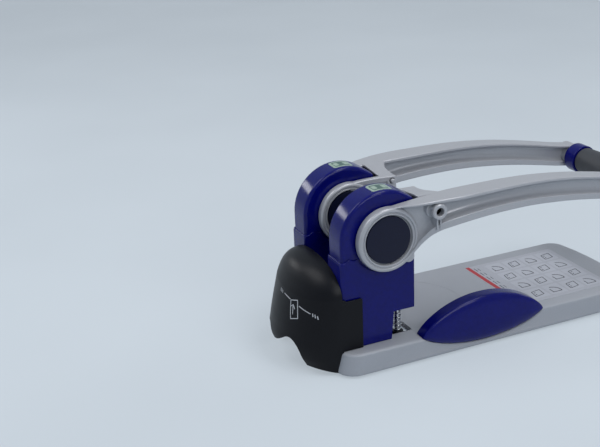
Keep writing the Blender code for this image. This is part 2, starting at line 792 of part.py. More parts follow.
    channel_top = BASE_TOP - BASE_WALL - FIT
    outer = (BAR_X - BAR_HALF - FIT * 2 - CHANNEL_WALL, BAR_X + BAR_HALF + FIT * 2 + CHANNEL_WALL)
    channel = block("guide_channel", outer, (-CHANNEL_Y, CHANNEL_Y), (CHANNEL_LOW_Z, channel_top), ZINC)
    inner = block(
        "channel_hollow",
        (BAR_X - BAR_HALF - FIT * 2, BAR_X + BAR_HALF + FIT * 2),
        (-CHANNEL_Y - OVER, CHANNEL_Y + OVER),
        (BAR_Z0 - FIT, channel_top + OVER),
    )
    boolean(channel, inner)


def column_outline(grow, lift):
    """Side outline of a housing, grown outwards by grow at the rear and arch."""
    radius = COLUMN_R + grow
    end = math.atan2(math.sqrt(radius**2 - BAND_END_X**2), BAND_END_X)
    front = COLUMN_FRONT + grow
    points = [(-radius, BASE_TOP + lift)]
    points += arc((0, PIVOT_Z), radius, math.pi, end, 20)
    points += [(front, COLUMN_TIP_Z + grow / 2), (front, OVERHANG_Z)]
    points += [(THROAT_TOP_X + grow, OVERHANG_Z), (THROAT_FOOT_X + grow, BASE_TOP + lift)]
    return points


def make_column(name, side):
    y0, y1 = span(side, COLUMN_IN_Y, COLUMN_OUT_Y)
    column = prism_y("column_" + name, column_outline(0, FIT), y0, y1, BLUE, None, True)
    eased(column, COLUMN_EDGE, 3, 50)
    skirt_top = SKIRT_Z
    skirt = [
        (-COLUMN_R - SKIRT_PROUD, BASE_TOP + FIT),
        (-COLUMN_R - SKIRT_PROUD, skirt_top),
        (COLUMN_FRONT - COLUMN_EDGE, skirt_top),
        (COLUMN_FRONT - COLUMN_EDGE, OVERHANG_Z + COLUMN_EDGE),
        (THROAT_TOP_X - SKIRT_PROUD, OVERHANG_Z + COLUMN_EDGE),
        (THROAT_FOOT_X - SKIRT_PROUD, BASE_TOP + FIT),
    ]
    proud = prism_y("skirt_" + name, skirt, y0 - SKIRT_PROUD, y1 + SKIRT_PROUD, None, None, True)
    eased(proud, SKIRT_PROUD * 2, 3, 50)
    past = (y0 - OVER * 2, y1 + OVER * 2)
    boolean(proud, rod_y("skirt_scoop_" + name, (0, PIVOT_Z), SKIRT_CLEAR_R, *past, steps=RING_AROUND))
    boolean(column, proud, "UNION")
    radius = COLUMN_R - COLUMN_WALL
    end = math.asin((COLUMN_TIP_Z - COLUMN_WALL - PIVOT_Z) / radius)
    front = COLUMN_FRONT - COLUMN_WALL
    hollow = [(-radius, BASE_TOP - OVER)]
    hollow += arc((0, PIVOT_Z), radius, math.pi, max(end, math.acos(front / radius)), 16)
    hollow += [
        (front, OVERHANG_Z - OVER),
        (POCKET_REAR_X, OVERHANG_Z - OVER),
        (POCKET_REAR_X, OVERHANG_Z + POCKET_ROOF),
        (THROAT_TOP_X - FLOOR_WALL, OVERHANG_Z + POCKET_ROOF),
        (THROAT_FOOT_X - FLOOR_WALL, BASE_TOP - OVER),
    ]
    boolean(column, prism_y("column_hollow_" + name, hollow, y0 + COLUMN_WALL, y1 - COLUMN_WALL))
    bore = BUSH_R + FIT
    boolean(column, rod_y("bush_bore_" + name, (0, PIVOT_Z), bore, *past, steps=SMALL_AROUND + 4))
    for end_name, out, back in (("outer", COLUMN_OUT_Y, COLUMN_WALL), ("inner", COLUMN_IN_Y, -COLUMN_WALL)):
        sign = 1 if back > 0 else -1
        face = out + sign * BUSH_FLANGE + sign * FIT / 3
        inside = out - back - sign * FIT
        turned(
            f"bush_{end_name}_{name}",
            [
                (AXLE_R + FIT, side * face),
                (BUSH_FLANGE_R, side * face),
                (BUSH_FLANGE_R, side * (out + sign * FIT)),
                (BUSH_R, side * (out + sign * FIT)),
                (BUSH_R, side * inside),
                (AXLE_R + FIT, side * inside),
            ],
            (0, PIVOT_Z),
            BRONZE,
            steps=SMALL_AROUND + 4,
        )
    guide = block(
        "guide_block_" + name,
        (GUIDE_REAR_X, COLUMN_FRONT - COLUMN_WALL - FIT),
        (side * PIN_Y - GUIDE_HALF, side * PIN_Y + GUIDE_HALF),
        (GUIDE_Z0, GUIDE_Z1),
        ZINC,
    )
    eased(guide, EPS, 1)
    guide_bore = rod_z("guide_bore_" + name, (PIN_X, side * PIN_Y), PIN_R + FIT, GUIDE_Z0 - OVER, GUIDE_Z1 + OVER)
    boolean(guide, guide_bore)


def involute(angle):
    return math.tan(angle) - angle


def pinion_outline():
    """Involute teeth: half tooth angle at radius r is half(pitch) + inv(pressure) - inv(acos(rb / r))."""
    base = PITCH_R * math.cos(PRESSURE)
    root = PITCH_R - DEDENDUM_SHARE * MODULE
    half = math.pi / (2 * TEETH) - TOOTH_THIN / 2 / PITCH_R
    radii = [root] + [base + (TIP_R - base) * k / 2 for k in range(3)]
    flank = []
    for r in radii:
        lean = involute(math.acos(min(1.0, base / max(r, base))))
        flank.append((r, half + involute(PRESSURE) - lean))
    points = []
    for tooth in range(TEETH):
        middle = 2 * math.pi * tooth / TEETH
        points += [(r, middle - a) for r, a in flank] + [(r, middle + a) for r, a in reversed(flank)]
    return [(r * math.cos(t), PIVOT_Z + r * math.sin(t)) for r, t in points]


def rack_outline():
    """Straight-sided teeth on the rear of the rack, a space level with the pivot."""
    tip_x = PITCH_R - ADDENDUM_SHARE * MODULE
    root_x = PITCH_R + DEDENDUM_SHARE * MODULE
    step = math.pi * MODULE
    slope = math.tan(PRESSURE)
    half = step / 4 - TOOTH_THIN / 2
    at_root = half + (root_x - PITCH_R) * slope
    at_tip = half - (PITCH_R - tip_x) * slope
    points = [(RACK_FRONT_X, RACK_Z0), (RACK_FRONT_X, RACK_Z1), (root_x, RACK_Z1)]
    places = [PIVOT_Z + step * (k + 0.5) for k in range(-8, 8)]
    for z in reversed([z for z in places if z - at_root > RACK_Z0 + FIT and z + at_root < RACK_Z1 - FIT]):
        points += [(root_x, z + at_root), (tip_x, z + at_tip), (tip_x, z - at_tip), (root_x, z - at_root)]
    points.append((root_x, RACK_Z0))
    return points


def make_mechanism(name, side):
    y = side * PIN_Y
    pinion = prism_y("pinion_" + name, pinion_outline(), y - PINION_HALF, y + PINION_HALF, STEEL, HANDLE)
    bore = d_outline(AXLE_R + FIT, AXLE_FLAT + FIT)
    boolean(pinion, prism_y("pinion_bore_" + name, bore, y - PINION_HALF - OVER, y + PINION_HALF + OVER))
    y0, y1 = span(side, IN_RING_Y0 + RING_SEAT_DEEP, OUT_RING_Y1 - RING_SEAT_DEEP)
    axle = prism_y("axle_" + name, d_outline(AXLE_R, AXLE_FLAT), y0 + FIT, y1 - FIT, STEEL, HANDLE, True)
    eased(axle, EPS, 1, 60)

    parent = PUNCHES[side]
    rack = prism_y("rack_" + name, rack_outline(), y - RACK_HALF, y + RACK_HALF, STEEL, parent)
    bore_top = PIN_TOP_Z + FIT
    boolean(rack, rod_z("rack_bore_" + name, (PIN_X, y), PIN_R + FIT, RACK_Z0 - OVER, bore_top))
    cup = PIN_R * 0.55
    turned(
        "punch_pin_" + name,
        [
            (0, PIN_TIP_Z + PIN_CUP),
            (cup, PIN_TIP_Z + PIN_CUP),
            (PIN_R, PIN_TIP_Z),
            (PIN_R, COLLAR_Z0),
            (COLLAR_R, COLLAR_Z0),
            (COLLAR_R, COLLAR_Z1),
            (PIN_R, COLLAR_Z1),
            (PIN_R, PIN_TOP_Z - EPS),
            (PIN_R - EPS, PIN_TOP_Z),
            (0, PIN_TOP_Z),
        ],
        (PIN_X, y),
        STEEL,
        parent,
        SMALL_AROUND + 4,
        "Z",
    )
    low = BASE_TOP - BASE_WALL
    high = low + PRESSER_THICK
    turned(
        "presser_" + name,
        [
            (HOLE_R + EPS / 2, low),
            (PRESSER_R - EPS, low),
            (PRESSER_R, low + EPS),
            (PRESSER_R, high - EPS),
            (PRESSER_R - EPS, high),
            (HOLE_R + EPS / 2, high),
        ],
        (PIN_X, y),
        BLACK,
        PRESSERS[side],
        SMALL_AROUND + 4,
        "Z",
    )
    make_spring(name, side, high + FIT + WIRE_R, COLLAR_Z0 - FIT - WIRE_R)


def make_spring(name, side, z0, z1):
    """Helix: (R cos t, R sin t, z0 + rise), the first and last turn flat, a straight bit at each end."""
    turns = np.linspace(0, 2 * math.pi * SPRING_TURNS, SPRING_TURNS * SPRING_POINTS + 1)
    active = np.clip((turns - math.pi) / (turns[-1] - 2 * math.pi), 0, 1)
    closed_rise = WIRE_R * 1.6
    edge = np.minimum(turns, math.pi) + np.maximum(turns - turns[-1] + math.pi, 0)
    rise = closed_rise * edge / math.pi / 2 + (z1 - z0 - closed_rise) * active
    xs = PIN_X + SPRING_R * np.cos(turns)
    ys = side * PIN_Y + SPRING_R * np.sin(turns)
    points = np.stack([xs, ys, z0 + rise], 1)
    away = []
    for i in range(len(points)):
        later = points[i + SPRING_POINTS // 2 + 1 :]
        if len(later):
            away.append(float(np.min(np.linalg.norm(later - points[i], axis=1))))
    print(f"spring_{name} least gap between turns {1000 * (min(away) - 2 * WIRE_R):.3f} mm")
    curve = bpy.data.curves.new("spring_" + name, "CURVE")
    curve.dimensions = "3D"
    curve.bevel_depth = WIRE_R
    curve.bevel_resolution = 1
    curve.use_fill_caps = True
    curve.materials.append(STEEL)
    spline = curve.splines.new("POLY")
    spline.points.add(len(points) - 1)
    spline.points.foreach_set("co", np.hstack([points, np.ones((len(points), 1))]).ravel())
    spring = bpy.data.objects.new("spring_" + name, curve)
    PUNCH.objects.link(spring)
    spring.parent = PUNCHES[side]
    spring.location = -PUNCHES[side].location


def arm_stations():
    """Rows of shares made into X, top Z, bottom Z, then places in Y."""
    return [
        (GRIP_X * x, PIVOT_Z + RING_R * top, PIVOT_Z + RING_R * low) + tuple(OUT_RING_Y1 * y for y in ys)
        for x, top, low, *ys in ARM_SHARES
    ]


def out_prong_stations():
    return [
        (GRIP_X * x, PIVOT_Z + RING_R * top, PIVOT_Z + RING_R * low) + tuple(OUT_RING_Y1 * y for y in ys)
        for x, top, low, *ys in OUT_PRONG_SHARES
    ]


def in_prong_stations():
    y0, y1 = IN_RING_Y0 + PRONG_INSET, IN_RING_Y1 - PRONG_BACK
    return [
        (GRIP_X * x, PIVOT_Z + RING_R * top, PIVOT_Z + RING_R * low, y0, y1) for x, top, low in IN_PRONG_SHARES
    ]


def station_rings(stations, side):
    """One four-cornered ring per row of X, top, bottom, inner Y and outer Y."""
    return [
        [(x, side * y0, low), (x, side * y1, low), (x, side * y1, top), (x, side * y0, top)]
        for x, top, low, y0, y1 in stations
    ]


def ring_profile(in_y, out_y, sign):
    """The fork ring: a flat face with a chamfered rim and a seat for its cap."""
    return [
        (0, in_y),
        (RING_R, in_y),
        (RING_R, out_y - sign * RING_CHAMFER),
        (RING_FACE_R, out_y),
        (RING_SEAT_R, out_y),
        (RING_SEAT_R, out_y - sign * RING_SEAT_DEEP),
        (0, out_y - sign * RING_SEAT_DEEP),
    ]


def recess(name, rings):
    return eased(lofted(name, rings), ARM_EDGE * 1.5, 1, 50)


def make_arm(name, side):
    stations = arm_stations()
    out_stations = out_prong_stations()
    root_in, root_out = stations[0][3:]
    arm = eased(lofted("arm_" + name, station_rings(stations, side), SILVER, HANDLE, True), ARM_EDGE, 1, 50)
    end_y = (ARM_END_Y0, ARM_END_Y1)
    end = turned(
        "arm_end_" + name,
        [
            (0, side * end_y[0]),
            (ARM_END_R - ARM_EDGE, side * end_y[0]),
            (ARM_END_R, side * (end_y[0] + ARM_EDGE)),
            (ARM_END_R, side * (end_y[1] - ARM_EDGE)),
            (ARM_END_R - ARM_EDGE, side * end_y[1]),
            (0, side * end_y[1]),
        ],
        (GRIP_X, GRIP_Z),
    )
    boolean(arm, end, "UNION")
    out_prong = lofted("out_prong_" + name, station_rings([row[:5] for row in out_stations], side))
    boolean(arm, eased(out_prong, ARM_EDGE, 1, 50), "UNION")
    in_prong = lofted("in_prong_" + name, station_rings(in_prong_stations(), side))
    boolean(arm, eased(in_prong, ARM_EDGE, 1, 50), "UNION")
    y0, y1 = span(side, BRIDGE_IN_Y, root_in + OVER)
    bridge = block("bridge_" + name, (BRIDGE_X0, BRIDGE_X1), (y0, y1), (BRIDGE_LOW, BRIDGE_TOP))
    boolean(arm, eased(bridge, ARM_EDGE, 1), "UNION")
    prong = out_stations[1:4]
    body = [row + ((row[3] + row[4]) / 2 + WEB_HALF,) for row in stations[1:-1]]
    first = stations[0] + (out_stations[-1][5],)
    rings = [
        [
            (x, side * (y1 + OVER), low + FLANGE),
            (x, side * web, low + FLANGE + RECESS_DRAFT),
            (x, side * web, top - FLANGE - RECESS_DRAFT),
            (x, side * (y1 + OVER), top - FLANGE),
        ]
        for x, top, low, y0, y1, web in prong + [first] + body
    ]
    boolean(arm, recess("out_recess_" + name, rings))
    rings = [
        [
            (x, side * (y0 - OVER), low + FLANGE),
            (x, side * (web - WEB_HALF * 2), low + FLANGE + RECESS_DRAFT),
            (x, side * (web - WEB_HALF * 2), top - FLANGE - RECESS_DRAFT),
            (x, side * (y0 - OVER), top - FLANGE),
        ]
        for x, top, low, y0, y1, web in body
    ]
    boolean(arm, recess("in_recess_" + name, rings))
    out_ring = turned(
        "out_ring_" + name,
        [(r, side * y) for r, y in ring_profile(OUT_RING_Y0, OUT_RING_Y1, 1)],
        (0, PIVOT_Z),
        steps=RING_AROUND,
    )
    in_ring = turned(
        "in_ring_" + name,
        [(r, side * y) for r, y in ring_profile(IN_RING_Y1, IN_RING_Y0, -1)],
        (0, PIVOT_Z),
        steps=RING_AROUND,
    )
    seat_y = span(side, OUT_RING_Y1 - RING_SEAT_DEEP, OUT_RING_Y1 + OVER * 3)
    seat_in = span(side, IN_RING_Y0 - OVER, IN_RING_Y0 + RING_SEAT_DEEP)
    boolean(arm, out_ring, "UNION")
    boolean(arm, in_ring, "UNION")
    boolean(arm, rod_y("seat_out_" + name, (0, PIVOT_Z), RING_SEAT_R, *seat_y, steps=RING_AROUND))
    boolean(arm, rod_y("seat_in_" + name, (0, PIVOT_Z), RING_SEAT_R, *seat_in, steps=RING_AROUND))
    bore = d_outline(AXLE_R + FIT, AXLE_FLAT + FIT)
    y0, y1 = span(side, IN_RING_Y0 - OVER, OUT_RING_Y1 + OVER)
    boolean(arm, prism_y("arm_bore_" + name, bore, y0, y1))
    lug_x = math.cos(LUG_ANGLE)
    lug_z = math.sin(LUG_ANGLE)
    lug = [
        (LUG_R0 * lug_x - LUG_HALF * lug_z, PIVOT_Z + LUG_R0 * lug_z + LUG_HALF * lug_x),
        (LUG_R1 * lug_x - LUG_HALF * lug_z, PIVOT_Z + LUG_R1 * lug_z + LUG_HALF * lug_x),
        (LUG_R1 * lug_x + LUG_HALF * lug_z, PIVOT_Z + LUG_R1 * lug_z - LUG_HALF * lug_x),
        (LUG_R0 * lug_x + LUG_HALF * lug_z, PIVOT_Z + LUG_R0 * lug_z - LUG_HALF * lug_x),
    ]
    lug_y = span(side, LUG_Y0, LUG_Y1)
    boolean(arm, eased(prism_y("lug_" + name, lug, *lug_y), ARM_EDGE, 1), "UNION")
    boss_x, boss_z = ARM_BOSS_X, ARM_BOSS_Z
    web_y = root_in + OVER
    out_y = root_out - OVER / 2
    boss = turned(
        "boss_" + name,
        [
            (0, side * web_y),
            (ARM_BOSS_R, side * web_y),
            (ARM_BOSS_R, side * (out_y - OVER)),
            (ARM_BOSS_COLLAR_R, side * (out_y - OVER)),
            (ARM_BOSS_COLLAR_R, side * out_y),
            (0, side * out_y),
        ],
        (boss_x, boss_z),
        steps=SMALL_AROUND,
    )
    boolean(arm, boss, "UNION")
    rib_y = span(side, web_y, root_out - RIB_INSET)
    rib_z = (boss_z - ARM_BOSS_R * 2, boss_z - OVER)
    rib = block("rib_" + name, (boss_x - RIB_HALF, boss_x + RIB_HALF), rib_y, rib_z)
    boolean(arm, rib, "UNION")
    hole = span(side, root_in - OVER, root_out + OVER)
    boolean(arm, rod_y("boss_hole_" + name, (boss_x, boss_z), ARM_BOSS_HOLE_R, *hole, steps=SMALL_AROUND))
    tube_hole = span(side, end_y[0] - OVER, end_y[1] + OVER)
    boolean(arm, rod_y("tube_hole_" + name, (GRIP_X, GRIP_Z), TUBE_R + FIT, *tube_hole, steps=AROUND))

    for where, face, sign in (("outer", OUT_RING_Y1, 1), ("inner", IN_RING_Y0, -1)):
        seat = face - sign * (RING_SEAT_DEEP - FIT)
        skin = seat + sign * CAP_THICK
        turned(
            f"cap_{where}_{name}",
            [
                (0, side * seat),
                (CAP_R - EPS, side * seat),
                (CAP_R, side * (seat + sign * EPS)),
                (CAP_R, side * (skin - sign * EPS * 2)),
                (CAP_R - EPS * 2, side * skin),
                (CAP_R * 0.7, side * (skin + sign * CAP_DOME * 0.55)),
                (CAP_R * 0.35, side * (skin + sign * CAP_DOME * 0.9)),
                (0, side * (skin + sign * CAP_DOME)),
            ],
            (0, PIVOT_Z),
            BLACK,
            HANDLE,
        )
    y0, y1 = span(side, COLLAR_GRIP_Y0, COLLAR_GRIP_Y1)
    edge = EPS * 3
    turned(
        "grip_collar_" + name,
        [
            (TUBE_R + FIT, y0),
            (COLLAR_GRIP_R - edge, y0),
            (COLLAR_GRIP_R - edge / 3, y0 + edge / 3),
            (COLLAR_GRIP_R, y0 + edge),
            (COLLAR_GRIP_R, y1 - edge),
            (COLLAR_GRIP_R - edge / 3, y1 - edge / 3),
            (COLLAR_GRIP_R - edge, y1),
            (TUBE_R + FIT, y1),
        ],
        (GRIP_X, GRIP_Z),
        BLUE,
        HANDLE,
    )
    head = end_y[1] + FIT
    screw = turned(
        "end_screw_" + name,
        [
            (0, side * (TUBE_HALF - END_PLUG_DEEP)),
            (END_PLUG_R, side * (TUBE_HALF - END_PLUG_DEEP)),
            (END_PLUG_R, side * head),
            (END_SCREW_R, side * head),
            (END_SCREW_R, side * (head + END_SCREW_H - END_SCREW_DOME)),
            (END_SCREW_R - END_SCREW_DOME, side * (head + END_SCREW_H)),
            (0, side * (head + END_SCREW_H)),
        ],
        (GRIP_X, GRIP_Z),
        STEEL,
        HANDLE,
        steps=AROUND,
    )
    hexagon = arc((GRIP_X, GRIP_Z), HEX_R, 0, 2 * math.pi * 5 / 6, 5)
    socket = span(side, head + END_SCREW_H - HEX_DEEP, head + END_SCREW_H + OVER)
    boolean(screw, prism_y("hex_socket_" + name, hexagon, *socket))


def make_grip():
    turned(
        "grip_tube",
        [
            (TUBE_R - TUBE_WALL, -TUBE_HALF),
            (TUBE_R, -TUBE_HALF),
            (TUBE_R, TUBE_HALF),
            (TUBE_R - TUBE_WALL, TUBE_HALF),
        ],
        (GRIP_X, GRIP_Z),
        STEEL,
        HANDLE,
    )
    edge = EPS * 3
    turned(
        "grip_sleeve",
        [
            (TUBE_R + FIT, -SLEEVE_HALF),
            (SLEEVE_R - edge, -SLEEVE_HALF),
            (SLEEVE_R, -SLEEVE_HALF + edge),
            (SLEEVE_R, SLEEVE_HALF - edge),
            (SLEEVE_R - edge, SLEEVE_HALF),
            (TUBE_R + FIT, SLEEVE_HALF),
        ],
        (GRIP_X, GRIP_Z),
        SLEEVE,
        GRIP,
    )


def bin_slices(thin, past, low, count=16):
    """Level slices: half an ellipse behind the front plane, thinner by thin all round and past the plane by past."""
    front = -BIN_X + past
    rings = []
    for high, wide, deep in BIN_SLICE_SHARES:
        ring = []
        for i in range(count + 1):
            turn = math.pi * i / count
            x = -BIN_X - (BIN_DEEP - thin) * deep * math.sin(turn)
            ring.append((x, (BIN_HALF * wide - thin) * math.cos(turn), low + (BIN_TOP - thin - low) * high))
        if past > 0:
            side, z = ring[0][1:]
            ring += [(front, -side, z), (front, side, z)]
        rings.append(ring)
    return rings


def make_bin():
    shield = lofted("chip_bin", bin_slices(0, 0, BASE_LOW), BLACK, BIN, True)
    hollow = lofted("bin_hollow", bin_slices(BIN_WALL, OVER, BASE_LOW - OVER))
    for name, side in NEAR_FAR:
        wing = rounded(
            [
                (-BIN_X - BIN_WALL, BASE_TOP - OVER),
                (-WING_FRONT, BASE_TOP - OVER),
                (-WING_FRONT, WING_TOP),
                (-BIN_X - BIN_WALL, WING_TOP),
            ],
            [0, BIN_WALL, BIN_WALL * 3, 0],
        )
        boolean(shield, prism_y("wing_" + name, wing, *span(side, WING_Y0, WING_Y1)), "UNION")
    boolean(shield, hollow)
    grown = [
        [(x, y, BASE_LOW - OVER) for x, y in base_outline(-FIT * 1.5, 1)],
        [(x, y, BASE_TOP + FIT) for x, y in base_outline(-FIT * 1.5, 0)],
    ]
    boolean(shield, lofted("base_clear", grown))
    rear_x = -BIN_X - BIN_DEEP - OVER
    rim = [
        (-BIN_X - RIM_START, BASE_LOW),
        (rear_x, BASE_LOW + RIM_RISE),
        (rear_x, BASE_LOW - OVER),
        (-BIN_X - RIM_START, BASE_LOW - OVER),
    ]
    boolean(shield, prism_y("bin_rim_cut", rim, -BIN_HALF - OVER, BIN_HALF + OVER))
    notch = turned(
        "bin_notch",
        [
            (0, -BIN_X - BIN_DEEP - OVER),
            (NOTCH_HALF, -BIN_X - BIN_DEEP - OVER),
            (NOTCH_HALF, -BIN_X - BIN_DEEP / 2),
            (0, -BIN_X - BIN_DEEP / 2),
        ],
        (0, 0),
        steps=40,
        axis="Z",
    )
    flat = NOTCH_UP / NOTCH_HALF
    for vertex in notch.data.vertices:
        a, b, along = vertex.co
        vertex.co = (along, a, BASE_LOW + b * flat)
    boolean(shield, notch)
    rear = -TRAY_REAR
    tray = block("chip_tray", (rear, TRAY_FRONT), (-TRAY_HALF, TRAY_HALF), (TRAY_LOW, TRAY_TOP), BLACK, BIN)
    room = block(
        "tray_room",
        (rear + TRAY_WALL, TRAY_FRONT - TRAY_WALL),
        (-TRAY_HALF + TRAY_WALL, TRAY_HALF - TRAY_WALL),
        (TRAY_LOW + TRAY_WALL, TRAY_TOP + OVER),
    )
    eased(tray, EPS, 1)
    boolean(tray, room)


def lens_outline(share, grow=0.0, count=20):
    """Z = mid +- height * (1 - u^2)^power, u from -1 to 1 along the head, grown by grow all round."""
    half = LENS_HALF * share + grow
    points = []
    for side_up, tall in ((1, LENS_UP), (-1, LENS_DOWN)):
        for k in range(count):
            u = -math.cos(math.pi * k / count) * side_up
            rise = (1 - u * u) ** LENS_POWER
            points.append((LENS_X + half * u, LENS_Z + side_up * (tall * share + grow) * rise))
    return points


def make_guide():
    rings = []
    for share, deep in LENS_LAYER_SHARES:
        y = -LENS_IN_Y - LENS_THICK * deep
        rings.append([(x, y, z) for x, z in lens_outline(share)])
    head = lofted("guide_head", rings, BLUE, GUIDE, True)
    under = block(
        "head_clear",
        (LENS_X - LENS_HALF - OVER, LENS_X + LENS_HALF + OVER),
        (-LENS_CLEAR_Y, -LENS_IN_Y + OVER),
        (BASE_LOW, BASE_TOP + FIT),
    )
    boolean(head, under)
    block(
        "guide_bar",
        (BAR_X - BAR_HALF, BAR_X + BAR_HALF),
        (-BAR_OUT_Y, BAR_IN_Y),
        (BAR_Z0, BAR_Z1),
        STEEL,
        GUIDE,
    )


make_base()
for label, way in NEAR_FAR:
    make_column(label, way)
    make_mechanism(label, way)
    make_arm(label, way)
make_grip()
make_bin()
make_guide()
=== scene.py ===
"""Looks of the two-hole lever punch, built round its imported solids.

New pieces are worked out in millimetres from the pivot: x runs forwards to the grip, y to the far side and
z up from the table. The swing joint's place, read from the frame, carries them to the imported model.
"""

import json
import math

import bmesh
import bpy
import numpy as np
from mathutils import Matrix, Vector


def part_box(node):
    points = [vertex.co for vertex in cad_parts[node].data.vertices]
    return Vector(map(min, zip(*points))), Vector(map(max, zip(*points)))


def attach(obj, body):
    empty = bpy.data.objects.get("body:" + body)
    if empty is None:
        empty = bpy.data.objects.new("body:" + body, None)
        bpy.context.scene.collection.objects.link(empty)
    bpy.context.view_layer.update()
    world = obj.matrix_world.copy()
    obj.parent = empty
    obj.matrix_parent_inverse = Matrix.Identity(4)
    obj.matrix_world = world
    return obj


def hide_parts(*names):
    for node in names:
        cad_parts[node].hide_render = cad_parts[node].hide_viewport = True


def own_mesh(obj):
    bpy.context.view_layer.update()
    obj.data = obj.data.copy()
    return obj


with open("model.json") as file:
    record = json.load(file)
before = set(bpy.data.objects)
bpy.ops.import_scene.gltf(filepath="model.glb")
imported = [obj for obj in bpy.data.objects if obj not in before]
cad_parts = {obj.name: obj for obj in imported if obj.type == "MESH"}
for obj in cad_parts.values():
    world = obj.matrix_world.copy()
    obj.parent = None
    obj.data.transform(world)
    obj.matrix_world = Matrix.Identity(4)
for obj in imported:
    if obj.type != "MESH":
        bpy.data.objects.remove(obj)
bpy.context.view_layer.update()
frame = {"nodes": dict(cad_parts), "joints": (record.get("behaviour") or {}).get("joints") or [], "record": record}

MM = 0.001
SWING = next(joint for joint in frame["joints"] if joint["name"] == "handle_swing")
PIVOT_X = SWING["pos_m"][0] / MM
PIVOT_Z = SWING["pos_m"][2] / MM
SIDES = (("near", -1.0), ("far", 1.0))

# Camera

PHOTO_WIDE, PHOTO_TALL = 600, 447
FOCAL_PIXELS = 1068.13
AIM_DISTANCE = 1.10323
AIM_FORWARD, AIM_UP = 102.6, 60.0
AIM_PIXEL = (448.42, 264.76)
CENTRE_PIXEL = (300.46, 221.23)
AZIMUTH, ELEVATION, ROLL = (math.radians(angle) for angle in (-23.2, 21.17, -2.6))


def set_camera():
    """The photo's viewpoint, fitted to measured edges: back is the unit vector from object to camera."""
    back = Vector((
        math.sin(AZIMUTH) * math.cos(ELEVATION),
        -math.cos(AZIMUTH) * math.cos(ELEVATION),
        math.sin(ELEVATION),
    ))
    level = Vector((math.cos(AZIMUTH), math.sin(AZIMUTH), 0.0))
    upright = back.cross(level)
    right = math.cos(ROLL) * level + math.sin(ROLL) * upright
    up = math.cos(ROLL) * upright - math.sin(ROLL) * level
    aim = Vector(((PIVOT_X + AIM_FORWARD) * MM, 0.0, AIM_UP * MM))
    across = (AIM_PIXEL[0] - CENTRE_PIXEL[0]) * AIM_DISTANCE / FOCAL_PIXELS
    rise = (CENTRE_PIXEL[1] - AIM_PIXEL[1]) * AIM_DISTANCE / FOCAL_PIXELS
    place = aim + back * AIM_DISTANCE - right * across - up * rise
    lens = bpy.data.cameras.new("photo_camera")
    lens.sensor_width = 36.0
    lens.lens = FOCAL_PIXELS / PHOTO_WIDE * lens.sensor_width
    lens.shift_x = (PHOTO_WIDE / 2 - CENTRE_PIXEL[0]) / PHOTO_WIDE
    lens.shift_y = (CENTRE_PIXEL[1] - PHOTO_TALL / 2) / PHOTO_WIDE
    camera = bpy.data.objects.new("photo_camera", lens)
    bpy.context.scene.collection.objects.link(camera)
    turn = Matrix((right, up, back)).transposed()
    camera.matrix_world = Matrix.Translation(place) @ turn.to_4x4()
    bpy.context.scene.camera = camera


set_camera()

# Materials


def srgb(code):
    """Linear colour from an sRGB hex value."""
    parts = [int(code[i : i + 2], 16) / 255 for i in (0, 2, 4)]
    return tuple(p / 12.92 if p <= 0.04045 else ((p + 0.055) / 1.055) ** 2.4 for p in parts) + (1.0,)


def add(tree, kind, settings=None, stops=(), **links):
    """One node with its settings and ramp stops; each link is an input's name or _number, and the value is
    (node, output) or a plain one."""
    node = tree.nodes.new(kind)
    for key, value in (settings or {}).items():
        setattr(node, key, value)
    for element, (position, colour) in zip(getattr(getattr(node, "color_ramp", None), "elements", ()), stops):
        element.position = position
        element.color = colour
    for key, value in links.items():
        socket = node.inputs[int(key[1:]) if key[1:].isdigit() else key.replace("_", " ")]
        if isinstance(value, tuple) and hasattr(value[0], "outputs"):
            tree.links.new(value[0].outputs[value[1]], socket)
        else:
            socket.default_value = value
    return node


def new_finish(name, **values):
    """A bare finish: the material, its tree and its shader, with plain values set on the shader's sockets."""
    made = bpy.data.materials.new(name)
    made.use_nodes = True
    shader = made.node_tree.nodes["Principled BSDF"]
    for key, value in values.items():
        shader.inputs[key.replace("_", " ")].default_value = value
    return made, made.node_tree, shader


def grey(value):
    """A plain value as a ramp colour."""
    return (value, value, value, 1.0)


def moulded_skin(tree, shader, colours, grain, relief, rough, spread, flow=22.0):
    """Grain of the mould in colour and height, with slow flow marks in the gloss; sizes in millimetres."""
    place = add(tree, "ShaderNodeTexCoord")
    fine = add(
        tree,
        "ShaderNodeTexNoise",
        {"noise_dimensions": "3D"},
        Vector=(place, "Object"),
        Scale=1 / (grain * MM),
        Detail=3.0,
        Roughness=0.55,
    )
    slow = add(
        tree,
        "ShaderNodeTexNoise",
        {"noise_dimensions": "3D"},
        Vector=(place, "Object"),
        Scale=1 / (flow * MM),
        Detail=4.0,
        Roughness=0.6,
    )
    tint = add(
        tree,
        "ShaderNodeValToRGB",
        stops=((0.35, srgb(colours[0])), (0.65, srgb(colours[1]))),
        Fac=(fine, "Fac"),
    )
    gloss = add(
        tree,
        "ShaderNodeValToRGB",
        stops=((0.3, grey(rough - spread)), (0.7, grey(rough + spread))),
        Fac=(slow, "Fac"),
    )
    bump = add(tree, "ShaderNodeBump", Strength=0.5, Distance=relief * MM, Height=(fine, "Fac"))
    tree.links.new(tint.outputs["Color"], shader.inputs["Base Color"])
    tree.links.new(gloss.outputs["Color"], shader.inputs["Roughness"])
    tree.links.new(bump.outputs["Normal"], shader.inputs["Normal"])


def blue_moulded_abs():
    """ABS from a polished mould: deep blue right through and glossy, so that edges catch bright lines."""
    made, tree, shader = new_finish("blue_moulded_abs", IOR=1.5, Specular_IOR_Level=0.22)
    moulded_skin(tree, shader, ("050a60", "060c69"), 4.0, 0.0, 0.16, 0.02)
    return made


